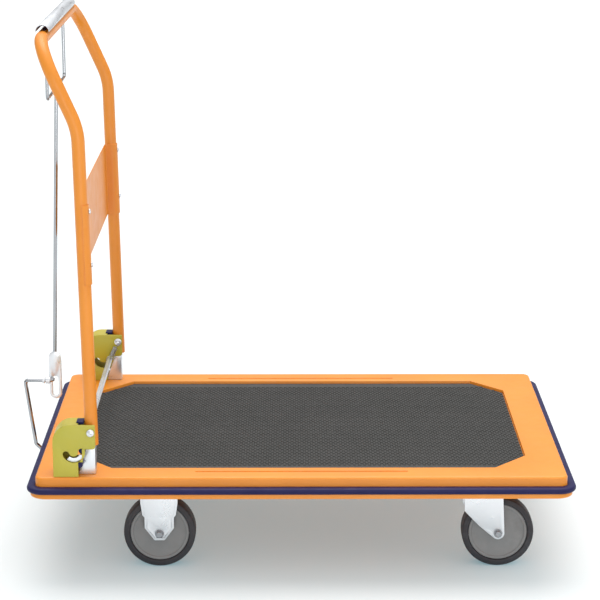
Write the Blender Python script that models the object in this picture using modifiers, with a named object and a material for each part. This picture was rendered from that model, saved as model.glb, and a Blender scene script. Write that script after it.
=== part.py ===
"""A folding platform cart: a pressed steel deck on two rigid and two swivel casters, with a fold-down
tube handle, a foot latch, and a hand brake that works through a rod, a crank and a cross shaft.

Metres, +Z up. X runs along the deck with the handle at -X, Y runs across it, and the floor is Z = 0.
Positions below are measured from the middle of the deck; the frame "cart" then moves everything along X,
so that the world's origin is under the middle of the whole object."""

import math

import bmesh
import bpy
from mathutils import Matrix, Vector

# Overall sizes
DECK_LENGTH = 0.900
DECK_WIDTH = 0.600
HANDLE_HEIGHT = 0.728  # axis of the handle's top bar above the deck
HANDLE_END = -DECK_LENGTH / 2  # the deck's end under the handle
GAP = 0.0003  # between pieces that touch

# Deck pan, mat and bumper
SHEET = 0.0015
PAN_CORNER = 0.014
PAN_EDGE = 0.004
PAN_DEPTH = 0.0352
LEDGE_OUT = 0.010  # the lower flange stands out this far
LEDGE_DROP = 0.0272  # and its top is this far below the deck
LEDGE_CORNER = 0.030
RECESS_DEPTH = 0.0060
RECESS_MARGIN_Y = 0.0495
RECESS_MARGIN_HANDLE = 0.068
RECESS_MARGIN_FRONT = 0.061
RECESS_CHAMFER_X = 0.058
RECESS_CHAMFER_Y = 0.062
MAT_FIT = 0.0008  # gap round the mat
MAT_THICKNESS = 0.0020
GROOVE_LENGTH = 0.362
GROOVE_WIDTH = 0.005
GROOVE_DEPTH = 0.0025
GROOVE_INSET = 0.031
BUMPER_OUT = 0.015
BUMPER_DROP = 0.016
BUMPER_EDGE = 0.0045

# Channels under the deck that carry the casters
CHANNEL_LENGTH = DECK_LENGTH - 0.040
CHANNEL_WIDTH = 0.060
CHANNEL_WALL = 0.002
CHANNEL_BOTTOM = 0.033  # below the deck's top
CASTER_Y = DECK_WIDTH / 2 - 0.090

# Casters
WHEEL_RADIUS = 0.0625
WHEEL_ROOM = 0.0325  # from the wheels' tops to the channels
WHEEL_WIDTH = 0.033
HUB_RADIUS = WHEEL_RADIUS - 0.012
HUB_INSET = 0.0025
BOSS_RADIUS = 0.012
AXLE_RADIUS = 0.005
AXLE_HEAD_RADIUS = 0.008
AXLE_HEAD = 0.005
RUNNING_FIT = 0.0004
FORK_SHEET = 0.0025
FORK_SIDE_GAP = 0.003  # between the wheel and each leg
PLATE_LENGTH = 0.095
PLATE_WIDTH = 0.056
PLATE_THICKNESS = 0.003
PLATE_CORNER = 0.006
RIGID_X = HANDLE_END + 0.204
SWIVEL_X = DECK_LENGTH / 2 - 0.139
SWIVEL_TRAIL = 0.030
RACE_RADIUS = 0.026
RACE_HEIGHT = 0.006
KINGPIN_RADIUS = 0.006
KINGPIN_HEAD_RADIUS = 0.010
KINGPIN_HEAD = 0.004
RIGID_LEG = (  # half of the rigid leg's outline about the axle, from its foot up
    (0.0092, -0.0115),
    (0.0255, 0.0106),
    (0.0255, 0.0295),
    (0.0292, 0.0345),
    (0.0322, 0.0560),
)
SWIVEL_FOOT = 0.0112
SWIVEL_BACK = 0.0068  # the trailing edge is this far behind the axle
# The leading edge, from the top down
SWIVEL_LEAD = ((-0.0600, None), (-0.0590, 0.68 * WHEEL_RADIUS), (-0.0340, 0.232 * WHEEL_RADIUS))

# Hinge brackets, pedestals and buffers
BRACKET_INSET = 0.002
BRACKET_WIDTH = 0.042
BRACKET_SHEET = 0.0025
BRACKET_BACK = HANDLE_END + 0.0320
BRACKET_FRONT = HANDLE_END + 0.1040
BRACKET_HEIGHT = 0.092
BRACKET_CORNER = 0.030
BRACKET_FRONT_CORNER = 0.006
TOP_WEB_END = HANDLE_END + 0.075
CUT_HEIGHT = 0.049
CUT_LOWER_X = HANDLE_END + 0.0743
TONGUE_X = HANDLE_END + 0.082
TONGUE_LOW = 0.0265
LOBE_X = HANDLE_END + 0.076
LOBE_Z = 0.021
LOBE_RADIUS = 0.0048
PEDESTAL_FOOT_X = HANDLE_END + 0.0723
PEDESTAL_TOP_X = HANDLE_END + 0.0885
PEDESTAL_FRONT_X = HANDLE_END + 0.1020
PEDESTAL_HEIGHT = 0.050
PEDESTAL_INSET = 0.014
BUFFER_TOP = BRACKET_HEIGHT + 0.0025
BUFFER_LAP = 0.0035
BUFFER_WIDTH = 0.020

# Handle
PIVOT_X = HANDLE_END + 0.096
PIVOT_Z = 0.078
POST_Y = DECK_WIDTH / 2 - BRACKET_INSET - BRACKET_WIDTH / 2
TUBE_RADIUS = 0.011
TUBE_WALL = 0.0015
TAIL = 0.026  # the posts run on below the pivot
LEAN = math.radians(1.0)
KINK_HEIGHT = 0.511  # above the pivot, along the post
TOP_BAR_X = HANDLE_END + 0.026
KINK_BEND = 0.120
TOP_BEND = 0.064
PIVOT_BOLT_RADIUS = 0.004
PIVOT_HEAD_RADIUS = 0.0065
PIVOT_HEAD = 0.0035
PIVOT_NUT = 0.004
PIVOT_TIP = 0.006  # past the nut, where the latch spring hooks on

# Panel across the posts, in the posts' own leaning frame
PANEL_LOW = 0.252
PANEL_HIGH = 0.387
PANEL_SHEET = 0.0015
PANEL_BACK = 0.0105  # the panel lies this far behind the posts' axes
PANEL_BEND = 0.003
PANEL_WRAP = math.radians(78)  # how far the saddle reaches round the outside of the post
SCREW_HEIGHTS = (0.286, 0.375)
SCREW_RADIUS = 0.0022
SCREW_HEAD_RADIUS = 0.0045
SCREW_HEAD = 0.0025
SCREW_REACH = 0.007

# Latch bar, which slides in curved slots in the brackets
BAR_RADIUS = 0.005
BAR_X = HANDLE_END + 0.080
BAR_Z = 0.045
BAR_END_GAP = 0.002
SLOT_CENTRE_X = HANDLE_END + 0.0668
SLOT_CENTRE_Z = 0.0442
SLOT_FIT = 0.0005
SLOT_TURN = math.radians(167)
SPRING_WIRE = 0.0006
SPRING_RADIUS = 0.0042
SPRING_TURNS = 8
SPRING_Y_OUT = 0.0105  # inboard of the bracket
SPRING_HOOK = 0.0015  # the straight run beyond the coil at each end
SPRING_CLEAR = 0.0065  # both hooks' share of the distance between the pins

# Brake grip and its linkage
GRIP_HALF = POST_Y - TOP_BEND - 0.008
GRIP_RADIUS = 0.0116
GRIP_SHEET = 0.0012
GRIP_LIFT = 0.010  # its centre above the top bar's axis
ARM_X = TOP_BAR_X - 0.004
ARM_Y = 0.130
ARM_RADIUS = 0.003
ARM_FIT = 0.0004
BUSH_WALL = 0.0012
BUSH_FLANGE_RADIUS = 0.0065
BUSH_FLANGE = 0.003
YOKE_LOW = 0.614
YOKE_BEND = 0.008
ROD_RADIUS = 0.0035
ROD_FOOT_X = HANDLE_END + 0.0045
STRAP_TOP = 0.134
STRAP_BOTTOM = 0.045
STRAP_WIDTH = 0.023
STRAP_THICKNESS = 0.003
STRAP_SLOT_WIDTH = 0.010
STRAP_SLOT_TOP = 0.088
STRAP_SLOT_BOTTOM = 0.051

# Crank, brake shaft and shoes
CRANK_RADIUS = 0.0035
CRANK_Y = -0.008
CRANK_HOOK_X = HANDLE_END
CRANK_HIGH = 0.082
CRANK_OUT_X = HANDLE_END - 0.050
CRANK_HEEL_X = HANDLE_END - 0.034
CRANK_HEEL_Z = -0.039
CRANK_TURN_X = HANDLE_END - 0.023
CRANK_BEND = 0.006
CRANK_HOOK_BEND = 0.004
HOOK_GAP = 0.0005  # from the hook's tip to the strap
COLLAR_X = HANDLE_END - 0.008
COLLAR_RADIUS = 0.006
COLLAR_LENGTH = 0.008
SHAFT_X = HANDLE_END + 0.120
SHAFT_Z = -0.050
SHAFT_RADIUS = 0.006
SHAFT_HALF = CASTER_Y + 0.012
SHOE_COLLAR_RADIUS = 0.0095
SHOE_COLLAR_LENGTH = 0.020
SHOE_SHEET = 0.004
SHOE_ANGLE = math.radians(105)  # where the pad meets the tyre, round the axle from +X
SHOE_HALF = 0.012
PAD_THICKNESS = 0.006
PAD_WIDTH = 0.026
PAD_GAP = 0.0004
BEARING_Y = CASTER_Y - 0.060
BEARING_WIDTH = 0.030
BEARING_SHEET = 0.004
BEARING_BELOW = 0.013
RETURN_SPRING_Y = 0.060
RETURN_SPRING_TURNS = 5
RETURN_SPRING_PITCH = 0.0024
RETURN_SPRING_LEG = 0.018

# Round shapes
WHEEL_STEPS = 28
PIN_STEPS = 16
TUBE_SIDES = 12
WIRE_SIDES = 8

SIDES = (("near", -1), ("far", 1))
DECK_TOP = 2 * WHEEL_RADIUS + WHEEL_ROOM + CHANNEL_BOTTOM
PIVOT = (PIVOT_X, 0, DECK_TOP + PIVOT_Z)
SHAFT = (SHAFT_X, 0, DECK_TOP + SHAFT_Z)
SLOT_CENTRE = (SLOT_CENTRE_X, 0, DECK_TOP + SLOT_CENTRE_Z)
BAR_ORBIT = math.hypot(BAR_X - SLOT_CENTRE_X, BAR_Z - SLOT_CENTRE_Z)
BRACKET_OUTER = DECK_WIDTH / 2 - BRACKET_INSET
BRACKET_INNER = BRACKET_OUTER - BRACKET_WIDTH
CASTER_PLATE_TOP = DECK_TOP - CHANNEL_BOTTOM - GAP
FORK_INNER = WHEEL_WIDTH / 2 + FORK_SIDE_GAP
FORK_OUTER = FORK_INNER + FORK_SHEET
GRIP_CENTRE_Z = DECK_TOP + HANDLE_HEIGHT + GRIP_LIFT

MATERIALS = {
    "orange": ((0.84, 0.34, 0.05), 0.38, 0.0),
    "navy": ((0.035, 0.032, 0.11), 0.6, 0.0),
    "mat": ((0.085, 0.083, 0.08), 0.8, 0.0),
    "olive": ((0.42, 0.38, 0.06), 0.42, 0.0),
    "zinc": ((0.78, 0.80, 0.84), 0.38, 0.85),
    "chrome": ((0.70, 0.71, 0.73), 0.16, 1.0),
    "grip": ((0.62, 0.64, 0.67), 0.35, 0.4),
    "tyre": ((0.045, 0.043, 0.047), 0.7, 0.0),
    "hub": ((0.22, 0.22, 0.22), 0.55, 0.0),
    "steel": ((0.35, 0.35, 0.36), 0.5, 0.7),
}


def clear_scene():
    for obj in list(bpy.data.objects):
        bpy.data.objects.remove(obj, do_unlink=True)


def new_collection(name):
    collection = bpy.data.collections.new(name)
    bpy.context.scene.collection.children.link(collection)
    return collection


def paint(obj, slot):
    """Gives the object a material of its own in the slot's colour."""
    colour, roughness, metallic = MATERIALS[slot]
    material = bpy.data.materials.new(obj.name)
    material.use_nodes = True
    shader = material.node_tree.nodes["Principled BSDF"]
    shader.inputs["Base Color"].default_value = (*colour, 1)
    shader.inputs["Roughness"].default_value = roughness
    shader.inputs["Metallic"].default_value = metallic
    obj.data.materials.append(material)


def empty_frame(name, origin, parent=None):
    """An empty whose origin is given in the deck's own coordinates."""
    frame = bpy.data.objects.new(name, None)
    parts.objects.link(frame)
    frame["origin"] = list(origin)
    frame.parent = parent
    frame.location = Vector(origin) - Vector(parent["origin"] if parent else (0, 0, 0))
    return frame


def finish(obj, frame, slot, at=(0, 0, 0)):
    """Puts an object's own origin at a point of the deck's coordinates, under a frame."""
    obj.parent = frame
    obj.location = Vector(at) - Vector(frame["origin"])
    if slot:
        paint(obj, slot)
    return obj


def mesh_object(name, bm):
    mesh = bpy.data.meshes.new(name)
    bm.to_mesh(mesh)
    bm.free()
    mesh.shade_smooth()
    mesh.set_sharp_from_angle(angle=math.radians(35))
    obj = bpy.data.objects.new(name, mesh)
    parts.objects.link(obj)
    return obj


def round_off(bm, edges, offset, segments):
    bmesh.ops.bevel(bm, geom=edges, offset=offset, segments=segments, profile=0.5, affect="EDGES")


def block(name, size, centre=(0, 0, 0), corner=0.0, edge=0.0, corner_steps=5, edge_steps=2):
    """A box, with its upright edges rounded by corner and then its rims by edge."""
    bm = bmesh.new()
    bmesh.ops.create_cube(bm, size=1)
    bmesh.ops.scale(bm, vec=size, verts=bm.verts)
    if corner:
        upright = [e for e in bm.edges if abs((e.verts[0].co - e.verts[1].co).normalized().z) > 0.9]
        round_off(bm, upright, corner, corner_steps)
    if edge:
        rims = [e for e in bm.edges if abs(e.verts[0].co.z - e.verts[1].co.z) < size[2] / 9]
        round_off(bm, rims, edge, edge_steps)
    bmesh.ops.translate(bm, vec=centre, verts=bm.verts)
    return mesh_object(name, bm)


def turned(name, profile, side, steps=PIN_STEPS):
    """A profile of (radius, height) points turned about an axis whose top points along Y to that side."""
    bm = bmesh.new()
    points = [bm.verts.new((radius, 0, height)) for radius, height in profile]
    closed = profile[0][0] > 0
    for first, second in zip(points, points[1:] + (points[:1] if closed else [])):
        bm.edges.new((first, second))
    obj = mesh_object(name, bm)
    screw = obj.modifiers.new("Screw", "SCREW")
    screw.angle = 2 * math.pi
    screw.steps = screw.render_steps = steps
    screw.use_merge_vertices = True
    screw.merge_threshold = 0.00001
    obj.rotation_euler = (0, 0, 0) if side == 0 else (-side * math.pi / 2, 0, 0)
    return obj


def bar_profile(radius, low, high):
    return [(0, high), (radius, high), (radius, low), (0, low)]


def ring_profile(inner, outer, low, high):
    return [(outer, high), (outer, low), (inner, low), (inner, high)]


def mesh_from_curve(curve_object):
    """The curve's evaluated shape as a mesh object of the same name, welded into one closed body."""
    name = curve_object.name
    graph = bpy.context.evaluated_depsgraph_get()
    mesh = bpy.data.meshes.new_from_object(curve_object.evaluated_get(graph))
    bm = bmesh.new()
    bm.from_mesh(mesh)
    bmesh.ops.remove_doubles(bm, verts=bm.verts, dist=0.000005)
    bmesh.ops.transform(bm, matrix=curve_object.matrix_world, verts=bm.verts)
    bmesh.ops.recalc_face_normals(bm, faces=bm.faces)
    bpy.data.objects.remove(curve_object, do_unlink=True)
    bpy.data.meshes.remove(mesh)
    return mesh_object(name, bm)


def plate(name, outline, middle_y, thickness):
    """A closed (x, z) outline as a plate of that thickness across Y."""
    curve = bpy.data.curves.new(name, "CURVE")
    curve.dimensions = "2D"
    curve.fill_mode = "BOTH"
    curve.extrude = thickness / 2
    spline = curve.splines.new("POLY")
    spline.points.add(len(outline) - 1)
    for point, (x, z) in zip(spline.points, outline):
        point.co = (x, z, 0, 1)
    spline.use_cyclic_u = True
    obj = bpy.data.objects.new(name, curve)
    parts.objects.link(obj)
    obj.location = (0, middle_y, 0)
    obj.rotation_euler = (math.pi / 2, 0, 0)
    bpy.context.view_layer.update()
    return mesh_from_curve(obj)


def wire(name, points, radius, sides=WIRE_SIDES):
    """A round rod, tube or wire that follows the points."""
    curve = bpy.data.curves.new(name, "CURVE")
    curve.dimensions = "3D"
    curve.bevel_depth = radius
    curve.bevel_resolution = sides // 2 - 2
    curve.use_fill_caps = True
    spline = curve.splines.new("POLY")
    spline.points.add(len(points) - 1)
    for point, place in zip(spline.points, points):
        point.co = (*place, 1)
    obj = bpy.data.objects.new(name, curve)
    parts.objects.link(obj)
    bpy.context.view_layer.update()
    return mesh_from_curve(obj)


def strip(name, path, width, thickness, middle_y=0.0):
    """A bent sheet: a path of (x, z) points, with the sheet's width across Y and half its thickness
    on each side of the path."""
    bm = bmesh.new()
    rows = [[bm.verts.new((x, middle_y + end * width / 2, z)) for end in (-1, 1)] for x, z in path]
    for (a, b), (c, d) in zip(rows, rows[1:]):
        bm.faces.new((a, b, d, c))
    return solidify(mesh_object(name, bm), thickness)


def solidify(obj, thickness):
    shell = obj.modifiers.new("Solidify", "SOLIDIFY")
    shell.thickness = thickness
    shell.offset = 0
    shell.use_even_offset = True
    return obj


def combine(obj, tool, operation):
    """Adds or takes away the tool, which becomes a helper that isn't part of the object."""
    change = obj.modifiers.new(tool.name, "BOOLEAN")
    change.operation = operation
    change.object = tool
    tool.parent = tool.parent or cart
    tool.hide_render = True
    tool.display_type = "WIRE"
    parts.objects.unlink(tool)
    helpers.objects.link(tool)


def cut(obj, *tools):
    for tool in tools:
        combine(obj, tool, "DIFFERENCE")


def join(obj, *tools):
    for tool in tools:
        combine(obj, tool, "UNION")


def arc(centre, radius, start, turn, steps):
    """Points on a circle in (x, z), anticlockwise from the angle start."""
    angles = [start + turn * i / steps for i in range(steps + 1)]
    return [(centre[0] + radius * math.cos(a), centre[1] + radius * math.sin(a)) for a in angles]


def rounded_path(corners, radii, steps):
    """The corners joined by straight runs, each inner corner replaced by an arc of its radius."""
    corners = [Vector(corner) for corner in corners]
    path = [corners[0]]
    for before, corner, after, radius in zip(corners, corners[1:], corners[2:], radii):
        into = (corner - before).normalized()
        out = (after - corner).normalized()
        turn = into.angle(out)
        start = corner - into * radius * math.tan(turn / 2)
        inward = (out - into * out.dot(into)).normalized()
        for i in range(steps + 1):
            angle = turn * i / steps
            path.append(start + into * radius * math.sin(angle) + inward * radius * (1 - math.cos(angle)))
    return path + [corners[-1]]


def cylinder_tool(name, radius, length, centre, axis, steps=PIN_STEPS):
    bm = bmesh.new()
    bmesh.ops.create_cone(bm, cap_ends=True, segments=steps, radius1=radius, radius2=radius, depth=length)
    turn = Vector(axis).to_track_quat("Z", "Y").to_matrix().to_4x4()
    bmesh.ops.transform(bm, matrix=Matrix.Translation(centre) @ turn, verts=bm.verts)
    return mesh_object(name, bm)


# Deck


def mat_outline(grow):
    """The mat recess's eight corners, grown outward by a distance."""
    low_x = -DECK_LENGTH / 2 + RECESS_MARGIN_HANDLE - grow
    high_x = DECK_LENGTH / 2 - RECESS_MARGIN_FRONT + grow
    half_y = DECK_WIDTH / 2 - RECESS_MARGIN_Y + grow
    slope = math.hypot(RECESS_CHAMFER_X, RECESS_CHAMFER_Y)
    cut_x = RECESS_CHAMFER_X + grow - grow * (slope - RECESS_CHAMFER_X) / RECESS_CHAMFER_Y
    cut_y = RECESS_CHAMFER_Y + grow - grow * (slope - RECESS_CHAMFER_Y) / RECESS_CHAMFER_X
    right = [(high_x, -half_y + cut_y), (high_x, half_y - cut_y), (high_x - cut_x, half_y)]
    left = [(low_x + cut_x, half_y), (low_x, half_y - cut_y), (low_x, -half_y + cut_y)]
    return right + left + [(low_x + cut_x, -half_y), (high_x - cut_x, -half_y)]


def flat_plate(name, outline, low, high):
    """A closed (x, y) outline as a plate between two heights."""
    bm = bmesh.new()
    face = bm.faces.new([bm.verts.new((x, y, low)) for x, y in outline])
    face.normal_update()
    top = bmesh.ops.extrude_face_region(bm, geom=[face])
    raised = [v for v in top["geom"] if isinstance(v, bmesh.types.BMVert)]
    bmesh.ops.translate(bm, vec=(0, 0, high - low), verts=raised)
    bmesh.ops.recalc_face_normals(bm, faces=bm.faces)
    return mesh_object(name, bm)


def rim_block(name, grow, low, high, corner, edge=0.0):
    """A block over the deck's outline, grown by a distance, between two depths below the deck's top."""
    size = (DECK_LENGTH + 2 * grow, DECK_WIDTH + 2 * grow, high - low)
    return block(name, size, (0, 0, DECK_TOP + (low + high) / 2), corner, edge)


def build_pan():
    pan = rim_block("deck_pan", 0, -PAN_DEPTH, 0, PAN_CORNER)
    points = pan.data.vertices
    weight = pan.data.attributes.new("bevel_weight_edge", "FLOAT", "EDGE")
    for edge in pan.data.edges:
        if all(abs(points[v].co.z - DECK_TOP) < GAP / 2 for v in edge.vertices):
            weight.data[edge.index].value = 1
    rounding = pan.modifiers.new("Bevel", "BEVEL")
    rounding.limit_method = "WEIGHT"
    rounding.width = PAN_EDGE
    rounding.segments = 3
    join(pan, rim_block("pan_flange", LEDGE_OUT, -PAN_DEPTH, -LEDGE_DROP, LEDGE_CORNER))
    under = rim_block("pan_hollow", -SHEET, -PAN_DEPTH - SHEET, -SHEET, PAN_CORNER - SHEET)
    cut(under, flat_plate("pan_hollow_recess", mat_outline(SHEET), DECK_TOP - RECESS_DEPTH - SHEET, DECK_TOP))
    flange_hollow = rim_block(
        "pan_flange_hollow", LEDGE_OUT - SHEET, -PAN_DEPTH - SHEET, -LEDGE_DROP - SHEET, LEDGE_CORNER - SHEET
    )
    recess = flat_plate("mat_recess", mat_outline(0), DECK_TOP - RECESS_DEPTH, DECK_TOP + RECESS_DEPTH)
    grooves = []
    for name, side in SIDES:
        centre = (0, side * (DECK_WIDTH / 2 - GROOVE_INSET), DECK_TOP)
        size = (GROOVE_LENGTH, GROOVE_WIDTH, 2 * GROOVE_DEPTH)
        grooves.append(block("groove_" + name, size, centre, GROOVE_WIDTH * 0.45, corner_steps=3))
        size = (GROOVE_LENGTH + 2 * SHEET, GROOVE_WIDTH + 2 * SHEET, 2 * (GROOVE_DEPTH + SHEET))
        cut(under, block("groove_bead_" + name, size, centre, GROOVE_WIDTH * 0.45 + SHEET, corner_steps=3))
    cut(pan, under, flange_hollow, recess, *grooves)
    finish(pan, cart, "orange")


def build_mat():
    low = DECK_TOP - RECESS_DEPTH + GAP
    finish(flat_plate("deck_mat", mat_outline(-MAT_FIT), low, low + MAT_THICKNESS), cart, "mat")


def build_bumper():
    ledge = -LEDGE_DROP + GAP
    corner = PAN_CORNER + BUMPER_OUT
    bumper = rim_block("edge_bumper", BUMPER_OUT, ledge, -BUMPER_DROP, corner, BUMPER_EDGE)
    cut(bumper, rim_block("bumper_hole", GAP, ledge - SHEET, -BUMPER_DROP + SHEET, PAN_CORNER + GAP))
    finish(bumper, cart, "navy")


def build_channel(name, side):
    top = DECK_TOP - RECESS_DEPTH - SHEET - GAP
    bottom = DECK_TOP - CHANNEL_BOTTOM
    at = (0, side * CASTER_Y, (top + bottom) / 2)
    channel = block("under_channel_" + name, (CHANNEL_LENGTH, CHANNEL_WIDTH, top - bottom), at)
    inside = (CHANNEL_LENGTH + SHEET, CHANNEL_WIDTH - 2 * CHANNEL_WALL, top - bottom)
    cut(channel, block("channel_inside_" + name, inside, (at[0], at[1], at[2] + CHANNEL_WALL)))
    finish(channel, cart, "orange")


# Hinge brackets and what sits in them


def bracket_outline():
    """The bracket's side outline, with the cut-out that shows the pedestal."""
    back, top, radius = BRACKET_BACK, DECK_TOP + BRACKET_HEIGHT, BRACKET_CORNER
    front, small = BRACKET_FRONT, BRACKET_FRONT_CORNER
    cut_z = DECK_TOP + CUT_HEIGHT
    points = [(back, DECK_TOP + GAP), (CUT_LOWER_X, DECK_TOP + GAP), (CUT_LOWER_X, DECK_TOP + TONGUE_LOW)]
    points += [(TONGUE_X, DECK_TOP + TONGUE_LOW), (TONGUE_X, cut_z)]
    points += arc((front - small, cut_z + small), small, -math.pi / 2, math.pi / 2, 3)
    points += [(front, top)]
    points += arc((back + radius, top - radius), radius, math.pi / 2, math.pi / 2, 6)
    return points


def slot_outline(centre, radius, half_width, start, turn, steps):
    """A curved slot with round ends, about a centre, as a closed (x, z) outline."""
    ends = [arc(centre, radius, angle, 0, 1)[0] for angle in (start, start + turn)]
    outer = arc(centre, radius + half_width, start, turn, steps)
    first = arc(ends[1], half_width, start + turn, math.copysign(math.pi, turn), 6)
    inner = arc(centre, radius - half_width, start + turn, -turn, steps)
    last = arc(ends[0], half_width, start + math.pi, math.copysign(math.pi, turn), 6)
    return outer + first[1:-1] + inner + last[1:-1]


def build_bracket(name, side):
    middle = side * (BRACKET_OUTER - BRACKET_WIDTH / 2)
    bracket = plate("hinge_bracket_" + name, bracket_outline(), middle, BRACKET_WIDTH)
    past = BRACKET_FRONT + BRACKET_CORNER
    above = DECK_TOP + BRACKET_HEIGHT + BRACKET_CORNER
    inner = [(past, DECK_TOP - BRACKET_CORNER), (past, above), (TOP_WEB_END, above)]
    top = DECK_TOP + BRACKET_HEIGHT - BRACKET_SHEET
    radius = BRACKET_CORNER - BRACKET_SHEET
    back = BRACKET_BACK + BRACKET_SHEET
    inner += [(TOP_WEB_END, top)]
    inner += arc((back + radius, top - radius), radius, math.pi / 2, math.pi / 2, 6)
    inner += [(back, DECK_TOP - BRACKET_CORNER)]
    cut(bracket, plate("bracket_inside_" + name, inner, middle, BRACKET_WIDTH - 2 * BRACKET_SHEET))
    start = math.atan2(BAR_Z - SLOT_CENTRE_Z, BAR_X - SLOT_CENTRE_X)
    half_width = BAR_RADIUS + SLOT_FIT
    centre = (SLOT_CENTRE[0], SLOT_CENTRE[2])
    slot = slot_outline(centre, BAR_ORBIT, half_width, start, -SLOT_TURN, 10)
    across = 2 * BRACKET_WIDTH - 4 * BRACKET_SHEET
    cut(bracket, plate("latch_slot_" + name, slot, middle, across))
    lobe = (LOBE_X, middle, DECK_TOP + LOBE_Z)
    cut(bracket, cylinder_tool("lobe_" + name, LOBE_RADIUS, across, lobe, (0, 1, 0)))
    hole = (PIVOT_X, middle, PIVOT[2])
    cut(bracket, cylinder_tool("pivot_hole_" + name, PIVOT_BOLT_RADIUS + GAP, across, hole, (0, 1, 0)))
    finish(bracket, cart, "olive")


def build_pedestal(name, side):
    low, high = DECK_TOP + GAP, DECK_TOP + PEDESTAL_HEIGHT
    outline = [(PEDESTAL_FOOT_X, low), (PEDESTAL_FRONT_X, low)]
    outline += [(PEDESTAL_FRONT_X, high), (PEDESTAL_TOP_X, high)]
    outer = BRACKET_OUTER - PEDESTAL_INSET
    inner = BRACKET_INNER + BRACKET_SHEET + GAP
    pedestal = plate("hinge_pedestal_" + name, outline, side * (outer + inner) / 2, outer - inner)
    finish(pedestal, cart, "zinc")


def build_buffer(name, side):
    """The rubber stop: it laps over the bracket's top web and fills the gap between the web and the post."""
    middle = side * (BRACKET_OUTER - BRACKET_WIDTH / 2)
    web_top = DECK_TOP + BRACKET_HEIGHT + GAP
    low = DECK_TOP + BRACKET_HEIGHT - BRACKET_SHEET
    top = DECK_TOP + BUFFER_TOP
    lean_back = (BUFFER_TOP - PIVOT_Z) * math.tan(LEAN)
    front = PIVOT_X - TUBE_RADIUS - lean_back - GAP
    back = TOP_WEB_END + GAP
    outline = [(back, low), (front, low), (front, top), (back - BUFFER_LAP, top)]
    outline += [(back - BUFFER_LAP, web_top)]
    outline += [(back, web_top)]
    finish(plate("stop_buffer_" + name, outline, middle, BUFFER_WIDTH), cart, "navy")


def build_pivot_bolt(name, side):
    """Head outside, nut inside, and a tip for the latch spring; the height runs outward along Y."""
    head_low = BRACKET_OUTER + GAP
    nut_high = BRACKET_INNER - GAP
    nut_low = nut_high - PIVOT_NUT
    tip = nut_low - PIVOT_TIP
    head = [(0, head_low + PIVOT_HEAD), (PIVOT_HEAD_RADIUS * 0.7, head_low + PIVOT_HEAD)]
    head += [(PIVOT_HEAD_RADIUS, head_low + PIVOT_HEAD * 0.4), (PIVOT_HEAD_RADIUS, head_low)]
    shank = [(PIVOT_BOLT_RADIUS, head_low), (PIVOT_BOLT_RADIUS, nut_high), (PIVOT_HEAD_RADIUS, nut_high)]
    end = [(PIVOT_HEAD_RADIUS, nut_low), (PIVOT_BOLT_RADIUS, nut_low), (PIVOT_BOLT_RADIUS, tip), (0, tip)]
    finish(turned("pivot_bolt_" + name, head + shank + end, side), cart, "zinc", PIVOT)


# Casters


def build_wheel(name, side, axle_x, kind, frame):
    """The core and the tyre turned about the axle; both are symmetric about the wheel's middle."""
    half = WHEEL_WIDTH / 2
    seat = HUB_RADIUS
    tyre = [(seat + 0.004, half), (WHEEL_RADIUS - 0.005, half), (WHEEL_RADIUS - 0.0012, half - 0.004)]
    tyre += [(WHEEL_RADIUS, half - 0.009)]
    tyre += [(radius, -height) for radius, height in reversed(tyre)]
    tyre += [(seat + GAP, -half + HUB_INSET), (seat + GAP, half - HUB_INSET)]
    bore = AXLE_RADIUS + RUNNING_FIT
    face = half - HUB_INSET
    boss = half + FORK_SIDE_GAP / 2
    core = [(BOSS_RADIUS, boss), (BOSS_RADIUS, face - 0.002), (seat - 0.006, face - 0.002), (seat, face)]
    core += [(radius, -height) for radius, height in reversed(core)]
    core += [(bore, -boss), (bore, boss)]
    at = (axle_x, side * CASTER_Y, WHEEL_RADIUS)
    finish(turned(f"{kind}_tyre_{name}", tyre, side, WHEEL_STEPS), frame, "tyre", at)
    finish(turned(f"{kind}_core_{name}", core, side, WHEEL_STEPS), frame, "hub", at)


def build_axle(name, side, axle_x, kind, frame):
    low, high = -FORK_OUTER - GAP, FORK_OUTER + GAP
    profile = [(0, high + AXLE_HEAD), (AXLE_HEAD_RADIUS * 0.8, high + AXLE_HEAD)]
    profile += [(AXLE_HEAD_RADIUS, high + AXLE_HEAD * 0.6), (AXLE_HEAD_RADIUS, high), (AXLE_RADIUS, high)]
    profile += [(AXLE_RADIUS, low), (AXLE_HEAD_RADIUS, low), (AXLE_HEAD_RADIUS, low - AXLE_HEAD)]
    profile += [(0, low - AXLE_HEAD)]
    axle = turned(f"{kind}_axle_{name}", profile, side)
    finish(axle, frame, "zinc", (axle_x, side * CASTER_Y, WHEEL_RADIUS))


def rigid_leg_outline(top):
    """The leg's outline about the axle, from its foot up to the top plate."""
    half = [*RIGID_LEG, (RIGID_LEG[-1][0], top)]
    return half + [(-x, z) for x, z in reversed(half)]


def swivel_leg_outline(top):
    """The raked leg: a round foot at the axle, a straight trailing edge and a sloping leading edge."""
    outline = arc((0, 0), SWIVEL_FOOT, math.radians(-130), math.radians(130), 6)
    return outline + [(SWIVEL_BACK, top)] + [(x, top if z is None else z) for x, z in SWIVEL_LEAD]


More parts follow.
